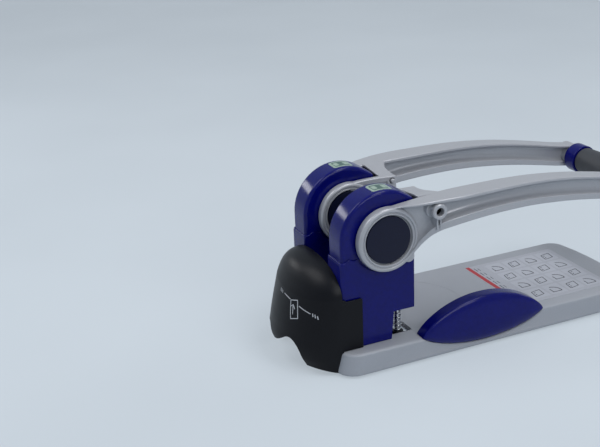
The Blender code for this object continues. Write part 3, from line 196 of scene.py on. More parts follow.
def silver_powder_coat():
    """Die-cast alloy under silver powder coat: satin grey, its fine orange peel drawn coarser than real."""
    made, tree, shader = new_finish("silver_powder_coat", Metallic=0.2, IOR=1.5)
    moulded_skin(tree, shader, ("a9abb1", "b0b2b8"), 0.7, 0.004, 0.3, 0.02)
    return made


def grey_spark_abs():
    """ABS from a spark-eroded mould: mid silver-grey, matt, its grain drawn at half a millimetre."""
    made, tree, shader = new_finish("grey_spark_abs", IOR=1.52)
    moulded_skin(tree, shader, ("9da1a9", "a4a8b0"), 0.5, 0.02, 0.44, 0.04)
    return made


def black_satin_abs():
    """Black ABS, lightly polished: a wide soft highlight and next to no colour."""
    made, tree, shader = new_finish("black_satin_abs", IOR=1.5, Specular_IOR_Level=0.2)
    moulded_skin(tree, shader, ("06070d", "090a12"), 0.8, 0.002, 0.4, 0.03)
    return made


def smoked_cap_abs():
    """Dark slate ABS of the ring caps: nearly flat, a slow blue-grey sheen from edge to edge."""
    made, tree, shader = new_finish("smoked_cap_abs", IOR=1.5, Specular_IOR_Level=0.22)
    moulded_skin(tree, shader, ("10142a", "12172f"), 1.2, 0.002, 0.34, 0.04)
    return made


def soft_touch_rubber():
    """Soft-touch rubber over the grip tube: dark grey, nearly matt, a fine tooth on the surface."""
    made, tree, shader = new_finish("soft_touch_rubber", IOR=1.5)
    moulded_skin(tree, shader, ("34363b", "3c3e43"), 0.6, 0.05, 0.6, 0.06)
    return made


def ground_steel():
    """Hardened and ground steel of pins, racks, pinions, axles and springs: bright with faint streaks."""
    made, tree, shader = new_finish("ground_steel", Metallic=1.0)
    moulded_skin(tree, shader, ("c8cace", "d4d6da"), 0.9, 0.01, 0.26, 0.05, 6.0)
    return made


def zinc_plated_sheet():
    """Zinc-plated sheet and blocks: a duller grey with soft crystals a few millimetres wide."""
    made, tree, shader = new_finish("zinc_plated_sheet", Metallic=1.0)
    moulded_skin(tree, shader, ("8e9196", "a0a2a6"), 2.5, 0.02, 0.38, 0.07, 9.0)
    return made


def sintered_bronze():
    """Pressed and sintered bronze of the bushes: brown-gold, open pores that dull it."""
    made, tree, shader = new_finish("sintered_bronze", Metallic=1.0)
    moulded_skin(tree, shader, ("9a6f38", "ab8047"), 0.5, 0.04, 0.44, 0.05)
    return made


def foot_rubber():
    """Black moulded rubber of the feet: matt, with a powdery bloom."""
    made, tree, shader = new_finish("foot_rubber", IOR=1.5)
    moulded_skin(tree, shader, ("1c1c1e", "242426"), 0.7, 0.05, 0.8, 0.05)
    return made


def label_film():
    """Matt polyester film of the label and its paler cells: almost smooth."""
    made, tree, shader = new_finish("label_film", IOR=1.6)
    moulded_skin(tree, shader, ("a9acb6", "b0b3bc"), 2.0, 0.008, 0.4, 0.05)
    return made


def printed_ink(name, low, high):
    """Screen-printed ink: an even colour, a little shinier than the film, thinner here and there."""
    made, tree, shader = new_finish(name, IOR=1.5)
    moulded_skin(tree, shader, (low, high), 0.8, 0.005, 0.38, 0.04)
    return made


def bore_shade():
    """Painted shade: near black and without a sheen, standing for the unlit end of a deep bore and for the gap
    round the link pin.
    """
    made, tree, shader = new_finish("bore_shade", IOR=1.3, Specular_IOR_Level=0.05)
    moulded_skin(tree, shader, ("050506", "08080a"), 0.8, 0.002, 0.8, 0.04)
    return made


FINISHES = {
    "blue_gloss": blue_moulded_abs(),
    "base_grey": grey_spark_abs(),
    "silver_paint": silver_powder_coat(),
    "black_satin": black_satin_abs(),
    "sleeve_rubber": soft_touch_rubber(),
    "bright_steel": ground_steel(),
    "zinc_plate": zinc_plated_sheet(),
    "bronze": sintered_bronze(),
    "foot_rubber": foot_rubber(),
    "label_film": label_film(),
}
CAP_FINISH = smoked_cap_abs()
WHITE_INK = printed_ink("white_ink", "b9bcc2", "c4c7cd")
RED_INK = printed_ink("red_ink", "a8222c", "b52932")
GREY_INK = printed_ink("grey_ink", "2e313a", "373a44")
CELL_INK = printed_ink("cell_ink", "b4b7c1", "babdc6")
GREEN_FILM = printed_ink("green_film", "93a79b", "9db1a5")
DARK_GREEN_FILM = printed_ink("dark_green_film", "3f5a55", "48655f")
BORE_SHADE = bore_shade()

# Surfaces


def eased_path(corners, radii, steps=6, closed=True):
    """Straight sides joined by arcs: an arc of radius r touches its sides at r / tan(half the corner)."""
    point = np.asarray(corners, float)
    back = np.roll(point, 1, axis=-2) - point
    ahead = np.roll(point, -1, axis=-2) - point
    back /= np.linalg.norm(back, axis=-1, keepdims=True)
    ahead /= np.linalg.norm(ahead, axis=-1, keepdims=True)
    half = np.arccos(np.clip((back * ahead).sum(-1, keepdims=True), -1, 1)) / 2
    radius = np.asarray(radii, float)[..., None] + np.zeros_like(half)
    middle = (back + ahead) / np.linalg.norm(back + ahead, axis=-1, keepdims=True) * radius / np.sin(half)
    first = (back * radius / np.tan(half) - middle)[..., None, :]
    last = (ahead * radius / np.tan(half) - middle)[..., None, :]
    sweep = np.maximum(math.pi - 2 * half, 1e-6)[..., None, :]
    share = np.linspace(0, 1, steps)[:, None]
    arcs = (point + middle)[..., None, :] + (
        np.sin((1 - share) * sweep) * first + np.sin(share * sweep) * last
    ) / np.sin(sweep)
    if closed:
        return arcs.reshape(*point.shape[:-2], -1, 2)
    inner = arcs[..., 1:-1, :, :].reshape(*point.shape[:-2], -1, 2)
    return np.concatenate([point[..., :1, :], inner, point[..., -1:, :]], axis=-2)


def through(table, at):
    """Smooth curve through a table's rows: cubic pieces, the slope at a row taken from its two neighbours."""
    table = np.asarray(table, float)
    key, value = table[:, 0], table[:, 1:]
    slope = np.gradient(value, key, axis=0)
    at = np.asarray(at, float)
    i = np.clip(np.searchsorted(key, at) - 1, 0, len(key) - 2)
    step = (key[i + 1] - key[i])[..., None]
    u = (at - key[i])[..., None] / step
    start = (2 * u**3 - 3 * u**2 + 1) * value[i] + (u**3 - 2 * u**2 + u) * step * slope[i]
    return start + (3 * u**2 - 2 * u**3) * value[i + 1] + (u**3 - u**2) * step * slope[i + 1]


def skin(rows):
    """Closed skin over a grid: each row is a ring of points, and a fan of triangles shuts each end ring."""
    rows = np.asarray(rows, float)
    count, around = rows.shape[:2]
    number = np.arange(count * around).reshape(count, around)
    low, high = number[:-1], number[1:]
    quads = np.stack([low, np.roll(low, -1, 1), np.roll(high, -1, 1), high], -1).reshape(-1, 4)
    corners = np.concatenate([rows.reshape(-1, 3), rows[0].mean(0)[None], rows[-1].mean(0)[None]])
    first, last = number[0], number[-1]
    pole = np.full(around, count * around)
    fans = np.concatenate([
        np.stack([pole, np.roll(first, -1), first], -1),
        np.stack([pole + 1, last, np.roll(last, -1)], -1),
    ])
    triangles = np.concatenate([quads[:, [0, 1, 2]], quads[:, [0, 2, 3]], fans])
    a, b, c = (corners[triangles[:, k]] for k in range(3))
    if (a * np.cross(b, c)).sum() < 0:
        quads, fans = quads[:, ::-1], fans[:, ::-1]
    return corners, quads, fans


def piece(name, skins, material, sharp=32.0):
    """One object of closed skins, carried from pivot millimetres to the model's place and shaded round."""
    corners, faces, start = [], [], 0
    for points, quads, fans in skins:
        corners.append(points)
        faces += (quads + start).tolist() + (fans + start).tolist()
        start += len(points)
    place = (np.concatenate(corners) + (PIVOT_X, 0, 0)) * MM
    mesh = bpy.data.meshes.new(name)
    mesh.from_pydata(place.tolist(), [], faces)
    mesh.materials.append(material)
    return shaded_round(bpy.data.objects.new(name, mesh), sharp)


def shaded_round(made, sharp):
    """Smooth shading that stops at edges sharper than the angle and leaves broad flat faces flat."""
    made.data.polygons.foreach_set("use_smooth", np.ones(len(made.data.polygons), bool))
    made.data.set_sharp_from_angle(angle=math.radians(sharp))
    bpy.context.scene.collection.objects.link(made)
    even = made.modifiers.new("even_shading", "WEIGHTED_NORMAL")
    even.keep_sharp = True
    return made


def fit_to(made, body, slot, *nodes):
    """The piece rides on a body and stands for the nodes named; slot is not used."""
    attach(made, body)
    if nodes:
        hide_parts(*nodes)


def turned(profile, centre, around=96):
    """A profile of (radius, y) turned about the line along y through centre (x, z)."""
    radius, y = np.asarray(profile, float).T[:, :, None]
    turn = np.linspace(0, 2 * math.pi, around, endpoint=False)
    x = centre[0] + radius * np.cos(turn)
    z = centre[1] + radius * np.sin(turn)
    return skin(np.stack([x, y + np.zeros_like(x), z], -1))


def drawn_in(outline, inset):
    """A closed outline moved inwards: each point slides along the mitre of its two sides' unit normals."""
    side = np.roll(outline, -1, axis=0) - outline
    side /= np.linalg.norm(side, axis=1, keepdims=True)
    normal = np.stack([-side[:, 1], side[:, 0]], -1)
    before = np.roll(normal, 1, axis=0)
    mitre = (normal + before) / (1 + (normal * before).sum(1, keepdims=True))
    turning = (outline[:, 0] * np.roll(outline[:, 1], -1) - outline[:, 1] * np.roll(outline[:, 0], -1)).sum()
    return outline + np.asarray(inset, float)[:, None, None] * mitre * np.sign(turning)


def slab(outline, low, high, edge, axis=1, steps=5):
    """An outline carried along an axis, drawn in by a quarter circle of the edge's radius at both faces."""
    turn = np.linspace(0, math.pi / 2, steps)
    inset = edge * (1 - np.sin(turn))
    rise = edge * (1 - np.cos(turn))
    insets = np.concatenate([inset, inset[::-1]])
    levels = np.concatenate([low + rise, high - rise[::-1]])
    flat = drawn_in(np.asarray(outline, float), insets)
    level = levels[:, None] + np.zeros(flat.shape[:2])
    parts = [flat[..., 0], flat[..., 1]]
    parts.insert(axis, level)
    return skin(np.stack(parts, -1))


def box_outline(low, high, radius, steps=5):
    """Upright rectangle from low to high corner with round corners."""
    corners = [(low[0], low[1]), (high[0], low[1]), (high[0], high[1]), (low[0], high[1])]
    return eased_path(corners, [radius] * 4, steps)


JOIN_DISTANCE, POLISHED_SHARP = 1e-6, 34.0


def polished(node, body, slot):
    """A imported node's own shape, its loose triangles joined so that round stretches are shaded round."""
    mesh = frame["nodes"][node].data.copy()
    mesh.name = node + "_finish"
    shape = bmesh.new()
    shape.from_mesh(mesh)
    bmesh.ops.remove_doubles(shape, verts=shape.verts, dist=JOIN_DISTANCE)
    shape.to_mesh(mesh)
    shape.free()
    mesh.materials.clear()
    mesh.materials.append(FINISHES[slot])
    made = bpy.data.objects.new(node + "_finish", mesh)
    fit_to(shaded_round(made, POLISHED_SHARP), body, slot, node)


# Fork arms

RING_R = 31.4
# Where the two rings of a fork rest on their column, and how far they stand out from there
OUTER_RING_Y, OUTER_RING_THICK = 55.3, 8.7
INNER_RING_Y, INNER_RING_THICK = 24.9, 7.7
HUB_R, VALLEY_DEEP, LIP_DEEP, SEAT_DEEP = 3.0, 1.5, 0.5, 3.8
ARM_STEPS, INNER_STEPS = 90, 28
BOSS_X, BOSS_Z = 45.8, 154.4
GRIP_X, GRIP_Z = 297.0, 131.0
# Rows of the outer limb: x, top, bottom, inner face, outer face above and below, web's middle, flange
ARM_ROWS = (
    (2.0, 161.2, 99.8, 56.2, 62.8, 62.8, 58.4, 3.0),
    (10.0, 162.1, 101.2, 56.1, 64.4, 63.0, 58.4, 3.2),
    (17.0, 162.8, 104.8, 56.0, 67.2, 63.4, 58.5, 3.8),
    (24.0, 163.5, 111.4, 55.9, 70.2, 64.3, 58.8, 4.8),
    (31.0, 164.3, 120.2, 55.9, 72.4, 67.0, 59.5, 5.8),
    (39.0, 164.9, 129.0, 55.6, 74.2, 71.4, 61.0, 6.8),
    (49.0, 165.4, 134.6, 54.6, 76.0, 75.2, 63.0, 7.4),
    (60.0, 165.7, 137.2, 53.0, 77.6, 77.4, 64.4, 7.6),
    (74.0, 165.9, 139.2, 52.4, 78.5, 78.5, 65.2, 7.6),
    (97.0, 166.0, 140.7, 52.4, 77.9, 77.9, 65.2, 7.6),
    (125.0, 165.9, 141.2, 52.7, 76.7, 76.7, 64.8, 7.3),
    (150.0, 165.1, 140.6, 53.1, 75.5, 75.5, 64.4, 7.0),
    (175.0, 163.2, 138.6, 53.6, 74.4, 74.4, 64.0, 6.6),
    (200.0, 160.2, 135.7, 53.9, 73.3, 73.3, 63.6, 6.3),
    (228.0, 155.5, 131.4, 53.8, 72.2, 72.2, 63.0, 6.0),
    (252.0, 150.8, 127.0, 53.4, 71.2, 71.2, 62.3, 5.7),
    (276.0, 145.9, 122.4, 52.8, 70.4, 70.4, 61.6, 5.4),
    (297.0, 142.4, 119.2, 52.3, 69.7, 69.7, 61.0, 5.1),
)
# Rows of the inner limb, the same columns
INNER_ROWS = (
    (2.0, 161.0, 100.4, 18.4, 24.2, 24.2, 21.2, 3.6),
    (10.0, 161.8, 101.8, 18.2, 24.2, 24.2, 21.1, 4.4),
    (20.0, 162.2, 109.0, 18.0, 24.2, 24.2, 21.0, 5.4),
    (33.0, 162.0, 124.4, 18.0, 24.2, 24.2, 20.9, 5.8),
    (48.0, 161.4, 134.4, 17.9, 24.2, 24.2, 20.9, 6.0),
)
# The upper flange of each limb as a share of its lower one
OUTER_LIP, INNER_LIP = 0.42, 0.85
WEB_HALF = 1.8
DRAFT = 0.9
FLANGE_EDGE, TIP_EDGE, WEB_FILLET = 1.3, 0.6, 6.0


def limb(rows, side, count, share):
    """An I section carried along x: its top, bottom, faces and web follow a smooth curve through the rows,
    and the upper flange is a share of the lower one."""
    at = np.linspace(rows[0][0], rows[-1][0], count)
    top, low, inner, outer, foot, web, flange = through(rows, at).T
    lip = share * flange
    left, right = web - WEB_HALF, web + WEB_HALF
    above, below = top - lip - DRAFT, low + flange + DRAFT
    corners = [
        (outer, top), (inner, top), (inner, top - lip), (left, above), (left, below), (inner, low + flange),
        (inner, low), (foot, low), (foot, low + flange), (right, below), (right, above), (outer, top - lip),
    ]
    section = np.stack([np.stack(corner, -1) for corner in corners], 1)
    edge = np.minimum(FLANGE_EDGE, 0.5 * lip)
    radii = []
    for deep in (left - inner, outer - right):
        tip = np.minimum(np.minimum(TIP_EDGE, 0.25 * deep), 0.3 * lip)
        fillet = np.minimum(WEB_FILLET, 0.6 * deep)
        radii += [edge, edge, tip, fillet, fillet, tip]
    rings = eased_path(section, np.stack(radii, 1), 5)
    x = at[:, None] + np.zeros(rings.shape[:2])
    return skin(np.stack([x, side * rings[..., 0], rings[..., 1]], -1))


def ring_skin(rest_y, outwards, thick):
    """Turned hub ring: a rolled rim, a shallow valley, a thin lip, then the seat of the cap."""
    valley, lip, seat = thick - VALLEY_DEEP, thick - LIP_DEEP, thick - SEAT_DEEP
    corners = [
        (HUB_R, 0.0), (RING_R, 0.0), (RING_R, thick), (27.9, thick), (27.2, valley),
        (26.4, valley), (26.0, lip), (25.0, lip), (24.2, seat), (HUB_R, seat),
    ]
    radii = [0, 0.8, 2.5, 1.0, 0.5, 0.3, 0.35, 0.4, 0.3, 0]
    profile = eased_path(corners, radii, 6, closed=False)
    profile[:, 1] = rest_y + outwards * profile[:, 1]
    return turned(profile, (0.0, PIVOT_Z), 128)


# Rows of the crotch between the limbs: y, left end, right end, top, bottom
CROTCH_ROWS = (
    (21.0, 36.4, 51.8, 161.5, 136.0),
    (27.0, 36.0, 51.6, 162.0, 136.0),
    (34.0, 35.6, 51.6, 162.9, 136.0),
    (41.0, 35.2, 52.4, 164.0, 136.0),
    (47.0, 34.8, 54.6, 164.9, 136.2),
    (52.0, 34.5, 57.6, 165.3, 137.0),
    (56.5, 34.3, 60.4, 165.4, 137.6),
)
CROTCH_WALL_X, CROTCH_THICK = 48.6, 3.2
CROTCH_EDGES = (0.6, 1.6, 0.8, 0.4, 1.5, 2.3)
PIN_X, PIN_Z = 47.5, 156.6
# Turned profiles of an arm: radius, distance from the middle
BOSS_PROFILE = (
    (1.0, 62.0), (8.8, 62.0), (8.8, 67.6), (8.2, 68.2), (6.2, 68.4), (6.0, 73.6), (6.6, 74.0), (7.3, 74.4),
    (7.5, 75.0), (7.5, 77.2), (6.9, 77.9), (4.6, 77.9), (4.0, 77.3), (4.0, 70.0), (1.0, 70.0),
)
# Near-black disc deep in the stop boss's bore: painted shade, not a part of the punch
BOSS_BORE_SHADE = ((0.2, 66.0), (4.03, 66.0), (4.03, 72.0), (0.2, 72.0))
PIN_PROFILE = ((0.3, 23.0), (2.3, 23.0), (2.3, 15.0), (1.7, 14.4), (0.3, 14.4))
# Near-black disc round the link pin's root: painted shade of the gap the pin stands in
PIN_GAP_SHADE = ((0.2, 18.4), (3.0, 18.4), (3.0, 17.74), (0.2, 17.74))
END_PROFILE = ((1.0, 51.7), (11.9, 51.7), (12.5, 52.3), (12.5, 69.5), (11.7, 70.3), (1.0, 70.3))
# Bars of an arm: corners in x and z, span from the middle
END_BLOCK, END_BLOCK_SPAN = ((42.0, 134.6), (52.6, 161.3)), (17.8, 24.6)
CLIPS, CLIP_SPAN = (((43.4, 136.6), (45.1, 148.0)), ((46.8, 136.6), (48.5, 148.0))), (63.0, 75.6)
LUG_X, LUG_Z, LUG_HALF_WIDE, LUG_HALF_TALL, LUG_SPAN = 22.2, 108.6, 5.6, 5.2, (56.0, 61.4)


def crotch(side):
    """The plate that shuts the fork's top and the wall below it: an upside-down L carried along y, whose
    right end follows a smooth curve from the inner limb out to the arm."""
    at = np.linspace(CROTCH_ROWS[0][0], CROTCH_ROWS[-1][0], 30)
    left, right, top, low = through(CROTCH_ROWS, at).T
    wall = np.full_like(at, CROTCH_WALL_X)
    under = top - CROTCH_THICK
    corners = [(left, top), (right, top), (right, low), (wall, low), (wall, under), (left, under)]
    section = np.stack([np.stack(corner, -1) for corner in corners], 1)
    rings = eased_path(section, np.tile(CROTCH_EDGES, (len(at), 1)), 6)
    y = at[:, None] + np.zeros(rings.shape[:2])
    return skin(np.stack([rings[..., 0], side * y, rings[..., 1]], -1))


def lathed(profile, side, centre, around):
    """A profile of (radius, distance from the middle) turned on one side."""
    return turned([(radius, side * out) for radius, out in profile], centre, around)


def side_slab(outline, side, span, edge):
    """A slab between two distances from the middle, on one side."""
    return slab(outline, *sorted((side * span[0], side * span[1])), edge)


def fork_arm(name, side):
    """Both rings, the stop boss, the grip's end boss, both limbs, the closed crotch, the inner limb's end block,
    the link pin, the lug and the boss's clips; near-black discs paint shade in the boss's bore and round the pin."""
    turn = np.linspace(0, 2 * math.pi, 40, endpoint=False)
    lug = np.stack([LUG_X + LUG_HALF_WIDE * np.cos(turn), LUG_Z + LUG_HALF_TALL * np.sin(turn)], -1)
    solids = [
        ring_skin(side * OUTER_RING_Y, side, OUTER_RING_THICK),
        ring_skin(side * INNER_RING_Y, -side, INNER_RING_THICK),
        lathed(BOSS_PROFILE, side, (BOSS_X, BOSS_Z), 48),
        lathed(END_PROFILE, side, (GRIP_X, GRIP_Z), 64),
        limb(ARM_ROWS, side, ARM_STEPS, OUTER_LIP),
        limb(INNER_ROWS, side, INNER_STEPS, INNER_LIP),
        crotch(side),
        side_slab(box_outline(*END_BLOCK, 2.0), side, END_BLOCK_SPAN, 1.2),
        lathed(PIN_PROFILE, side, (PIN_X, PIN_Z), 32),
        side_slab(lug, side, LUG_SPAN, 0.9),
    ]
    solids += [side_slab(box_outline(*clip, 0.6), side, CLIP_SPAN, 0.5) for clip in CLIPS]
    made = piece(name + "_fork_arm", solids, FINISHES["silver_paint"])
    # Near-black discs of painted shade in the boss's bore and round the link pin
    painted_shades = [
        lathed(BOSS_BORE_SHADE, side, (BOSS_X, BOSS_Z), 40),
        lathed(PIN_GAP_SHADE, side, (PIN_X, PIN_Z), 32),
    ]
    fit_to(piece(name + "_bore_shade", painted_shades, BORE_SHADE), "handle_unit", "black_satin")
    fit_to(made, "handle_unit", "silver_paint", "arm_" + name)


CAP_R, CAP_DOME = 23.3, 0.7


def ring_cap(name, rest_y, outwards, thick, node):
    """Cap pressed into a ring: a wide disc whose face domes by the cosine of its radius, with a soft edge."""
    radius = np.linspace(22.2, 1.0, 10)
    dome = CAP_DOME * np.cos(radius / CAP_R * math.pi / 2)
    rim = [(1.0, thick - 3.6), (CAP_R, thick - 3.6), (CAP_R, thick - 2.4), (23.0, thick - 1.9)]
    profile = np.array(rim + [(r, thick - 1.7 + rise) for r, rise in zip(radius, dome)])
    profile[:, 1] = rest_y + outwards * profile[:, 1]
    made = piece(name, [turned(profile, (0.0, PIVOT_Z))], CAP_FINISH)
    fit_to(made, "handle_unit", "black_satin", node)


# Columns' trim

COLUMN_R, COLUMN_FRONT, COLUMN_MIDDLE_Y = 45.5, 32.2, 40.0
SKIRT_REAR = -46.5
SKIRT_OUTER_Y, SKIRT_INNER_Y = 54.8, 25.2
SCOOP_R = 33.4
BASE_TOP, OVERHANG = 23.5, 52.5
SKIRT_ROUND, SKIRT_EDGE, SKIRT_WALL = 3.2, 0.8, 1.0
# Between these x the skirt's foot climbs from the base to the overhang of the throat
THROAT_STEP, BASE_GAP = (5.8, 8.3), 0.4
# The hooked crest on the skirt's top edge, behind the scoop: x, height
CREST = (
    (-46.6, 113.3), (-43.6, 113.4), (-41.0, 114.0), (-39.0, 115.3), (-37.4, 116.1), (-35.8, 115.5),
    (-34.0, 114.4), (-31.6, 114.0), (-29.4, 114.6),
)


def skirt(name, side):
    """Raised skin round a column's lower half: a wall's section carried along the plan, its top edge
    following the crest at the rear and then a scoop, z = pivot - sqrt(R^2 - x^2), below the ring."""
    along = np.linspace(COLUMN_FRONT - SKIRT_ROUND, SKIRT_REAR + SKIRT_ROUND, 150)
    turn = np.linspace(0, math.pi / 2, 7)
    outer, inner = SKIRT_OUTER_Y, SKIRT_INNER_Y
    bend = SKIRT_ROUND * np.stack([np.sin(turn), 1 - np.cos(turn)], -1)
    straight = np.stack([along, np.full_like(along, outer)], -1)
    start = np.array([(COLUMN_FRONT, outer - SKIRT_ROUND - 1.0)])
    front = np.stack([COLUMN_FRONT - SKIRT_ROUND + bend[::-1, 0], outer - bend[::-1, 1]], -1)[:-1]
    rear = np.stack([SKIRT_REAR + SKIRT_ROUND - bend[:, 0], outer - bend[:, 1]], -1)[1:]
    half = np.concatenate([start, front, straight, rear])
    plan = np.concatenate([half, half[::-1] * (1, -1) + (0, outer + inner)])
    ahead = np.gradient(plan, axis=0)
    ahead /= np.linalg.norm(ahead, axis=1, keepdims=True)
    out = np.stack([ahead[:, 1], -ahead[:, 0]], -1)
    out *= np.sign((out * (plan - plan.mean(0))).sum(1))[:, None]
    x = plan[:, 0]
    scoop = PIVOT_Z - np.sqrt(np.maximum(SCOOP_R**2 - x**2, 0))
    top = np.where(x < CREST[-1][0], through(CREST, x)[..., 0], scoop)
    low = np.interp(x, THROAT_STEP, (BASE_TOP + BASE_GAP, OVERHANG))
    quarter = SKIRT_EDGE * np.stack([1 - np.cos(turn), 1 - np.sin(turn)], -1)
    offset = np.concatenate([[-SKIRT_WALL, 0.0], -quarter[:, 0], [-SKIRT_WALL]])
    height = np.stack([low, low] + [top - drop for drop in quarter[:, 1]] + [top], 1)
    place = plan[:, None, :] + out[:, None, :] * offset[None, :, None]
    rows = np.stack([place[..., 0], side * place[..., 1], height], -1)
    made = piece(name + "_skirt", [skin(rows)], FINISHES["blue_gloss"])
    fit_to(made, "base_unit", "blue_gloss")


def evenly_spaced(outline, count):
    """The same closed outline through evenly spaced points, so that it can be bent."""
    shut = np.concatenate([outline, outline[:1]])
    run = np.concatenate([[0], np.cumsum(np.linalg.norm(np.diff(shut, axis=0), axis=1))])
    at = np.linspace(0, run[-1], count, endpoint=False)
    return np.stack([np.interp(at, run, shut[:, 0]), np.interp(at, run, shut[:, 1])], -1)


# Rings of a film from its lower edge to its middle: share of the outline, share of the lift
FILM_RINGS = ((1.0, 0.6), (0.97, 1.0), (0.7, 1.0), (0.4, 1.0), (0.12, 1.0))
FILM_SUNK = 0.1


def arch_patch(side, angles, reach, lift, radius):
    """Film bent over a column's crown: a round-cornered rectangle in angle and y, laid on the arch."""
    half_angle = (angles[1] - angles[0]) / 2 * COLUMN_R
    outline = evenly_spaced(box_outline((-half_angle, -reach), (half_angle, reach), radius, 6), 120)
    share, rise = np.array(((1.0, -FILM_SUNK / lift),) + FILM_RINGS).T
    flat = outline * share[:, None, None]
    turn = (angles[0] + angles[1]) / 2 - flat[..., 0] / COLUMN_R
    away = COLUMN_R + lift * rise[:, None]
    y = side * COLUMN_MIDDLE_Y + flat[..., 1]
    return skin(np.stack([away * np.cos(turn), y, PIVOT_Z + away * np.sin(turn)], -1))


# The crown label's front and rear ends, then half width and lift of its three layers
CROWN_FRONT, CROWN_REAR = 12.0, -8.5
CROWN_LAYERS = ((8.4, 0.12), (6.2, 0.17), (4.0, 0.22))


def crown_labels(name, side):
    """Film label on each crown: a pale border, a darker field and two plain pale bars."""
    front, rear = math.acos(CROWN_FRONT / COLUMN_R), math.acos(CROWN_REAR / COLUMN_R)
    middle = (front + rear) / 2
    border, field, bar = CROWN_LAYERS
    layers = {
        "label": ([arch_patch(side, (front, rear), *border, 2.4)], GREEN_FILM),
        "field": ([arch_patch(side, (front + 0.05, rear - 0.05), *field, 1.4)], DARK_GREEN_FILM),
        "bars": (
            [arch_patch(side, (middle + a, middle + a + 0.1), *bar, 0.9) for a in (-0.16, 0.06)],
            GREEN_FILM,
        ),
    }
    for layer, (patches, film) in layers.items():
        fit_to(piece(f"{name}_crown_{layer}", patches, film), "base_unit", "label_film")


# Chip bin

BIN_X, BIN_HALF, BIN_SHOULDER, BIN_RISE = -47.0, 57.5, 77.0, 29.2
BIN_WALL, BIN_EDGE = 2.0, 0.7
ARCH_POWER, ARCH_END = 0.91, math.radians(89.2)
# The shield's foot climbs by a share of what lies behind this x
FOOT_Z, FOOT_CLIMB, FOOT_FLAT_TO = 2.2, 0.25, -52.0
# The cut-out's edge: distance from the middle, height; a lip hangs at the middle
CUT_ROWS = (
    (0.0, 25.2), (6.0, 26.8), (12.0, 29.8), (17.0, 33.0), (22.0, 34.8), (27.0, 34.0), (31.5, 30.6),
    (34.6, 25.8), (36.2, 20.0), (37.0, 12.0), (37.4, 3.0),
)
CUT_HALF = CUT_ROWS[-1][0]
# Depth behind the arch's plane; the key is height / shoulder, then 1 + the arch's angle in quarter turns
BIN_DEPTHS = (
    (0.0, 36.0), (0.12, 40.2), (0.21, 44.6), (0.34, 47.0), (0.52, 44.8), (0.71, 41.2), (0.91, 36.6),
    (1.11, 31.8), (1.32, 27.2), (1.48, 23.0), (1.61, 18.5), (1.75, 12.2), (1.88, 6.2), (2.0, 0.4),
)
# Wings and their catches: corners in x and z, span from the middle
WING = ((-48.0, 23.9), (-26.1, 23.9), (-26.1, 75.2), (-48.0, 75.2))
WING_RADII, WING_SPAN = (0.8, 0.8, 1.6, 0.8), (55.2, 57.35)
CATCH, CATCH_SPAN = ((-47.6, 73.0), (-43.6, 77.0)), (55.0, 57.6)
# The plain fill mark as strokes between points (y, z)
MARK_WIDE, MARK_LIFT = 0.75, 0.07
MARK_FRAME = ((-16.8, 70.0), (-26.0, 72.6), (-30.4, 56.0), (-21.8, 53.2))
MARK_LINES = (
    ((-4.0, 72.2), (-16.0, 70.4)), ((-29.0, 67.8), (-42.0, 63.8)),
    ((-23.4, 58.0), (-21.6, 66.0)), ((-24.6, 63.6), (-21.6, 67.0)), ((-18.9, 64.6), (-21.6, 67.0)),
    ((5.4, 74.0), (4.6, 71.2)), ((3.0, 73.8), (2.2, 71.0)), ((0.6, 73.4), (-0.2, 70.8)),
    ((-43.6, 64.6), (-44.4, 61.4)), ((-45.6, 63.8), (-46.4, 60.4)), ((-47.6, 62.8), (-48.4, 59.4)),
)


def arch_bend(z):
    """Angle up the arch at a height: arcsin of the share of the rise, and 0 below the shoulder."""
    return np.arcsin(np.clip((z - BIN_SHOULDER) / BIN_RISE, 0, 1))


def bin_half(bend):
    """Half width of the shield, half cos(p)^power at the arch's angle p."""
    return BIN_HALF * np.maximum(np.cos(bend), 1e-4) ** ARCH_POWER


def bin_surface(turn, z, thin=0.0):
    """The shield: at each height half an ellipse, x = front - depth cos a and y = half width sin a."""
    bend = arch_bend(z)
    key = np.where(z < BIN_SHOULDER, z / BIN_SHOULDER, 1 + bend / (math.pi / 2))
    deep = through(BIN_DEPTHS, key)[..., 0]
    x = BIN_X - np.maximum(deep - thin, 0.1) * np.cos(turn)
    y = np.maximum(bin_half(bend) - thin, 0.1) * np.sin(turn)
    return np.stack([x, y, z + np.zeros_like(x)], -1)


def bin_rim(turn):
    """Lower edge: a plane that climbs towards the rear, and the finger cut-out's curve where it is higher."""
    foot = bin_surface(turn, np.full_like(turn, 6.0))
    slant = FOOT_Z + FOOT_CLIMB * np.maximum(FOOT_FLAT_TO - foot[..., 0], 0)
    out = np.abs(foot[..., 1])
    cut = np.where(out < CUT_HALF, through(CUT_ROWS, np.minimum(out, CUT_HALF))[..., 0], 0)
    return np.maximum(slant, cut)


def bin_shield():
    """Grid of heights by angle: each column of points runs from the rim to the shoulder, then up the arch."""
    cut_turn = math.asin(CUT_HALF / BIN_HALF)
    to_cut = cut_turn * np.sin(np.linspace(0, math.pi / 2, 48))
    quarter = np.concatenate([to_cut, np.linspace(cut_turn, math.pi / 2, 40)[1:]])
    turn = np.concatenate([-quarter[:0:-1], quarter])
    rim = bin_rim(turn)
    share = np.linspace(0, 1, 44)[:, None]
    bend = np.linspace(0, ARCH_END, 44)[1:, None]
    heights = np.concatenate([
        rim + (BIN_SHOULDER - rim) * share,
        BIN_SHOULDER + BIN_RISE * np.sin(bend) + np.zeros_like(turn),
    ])
    return bin_surface(turn + np.zeros_like(heights), heights)


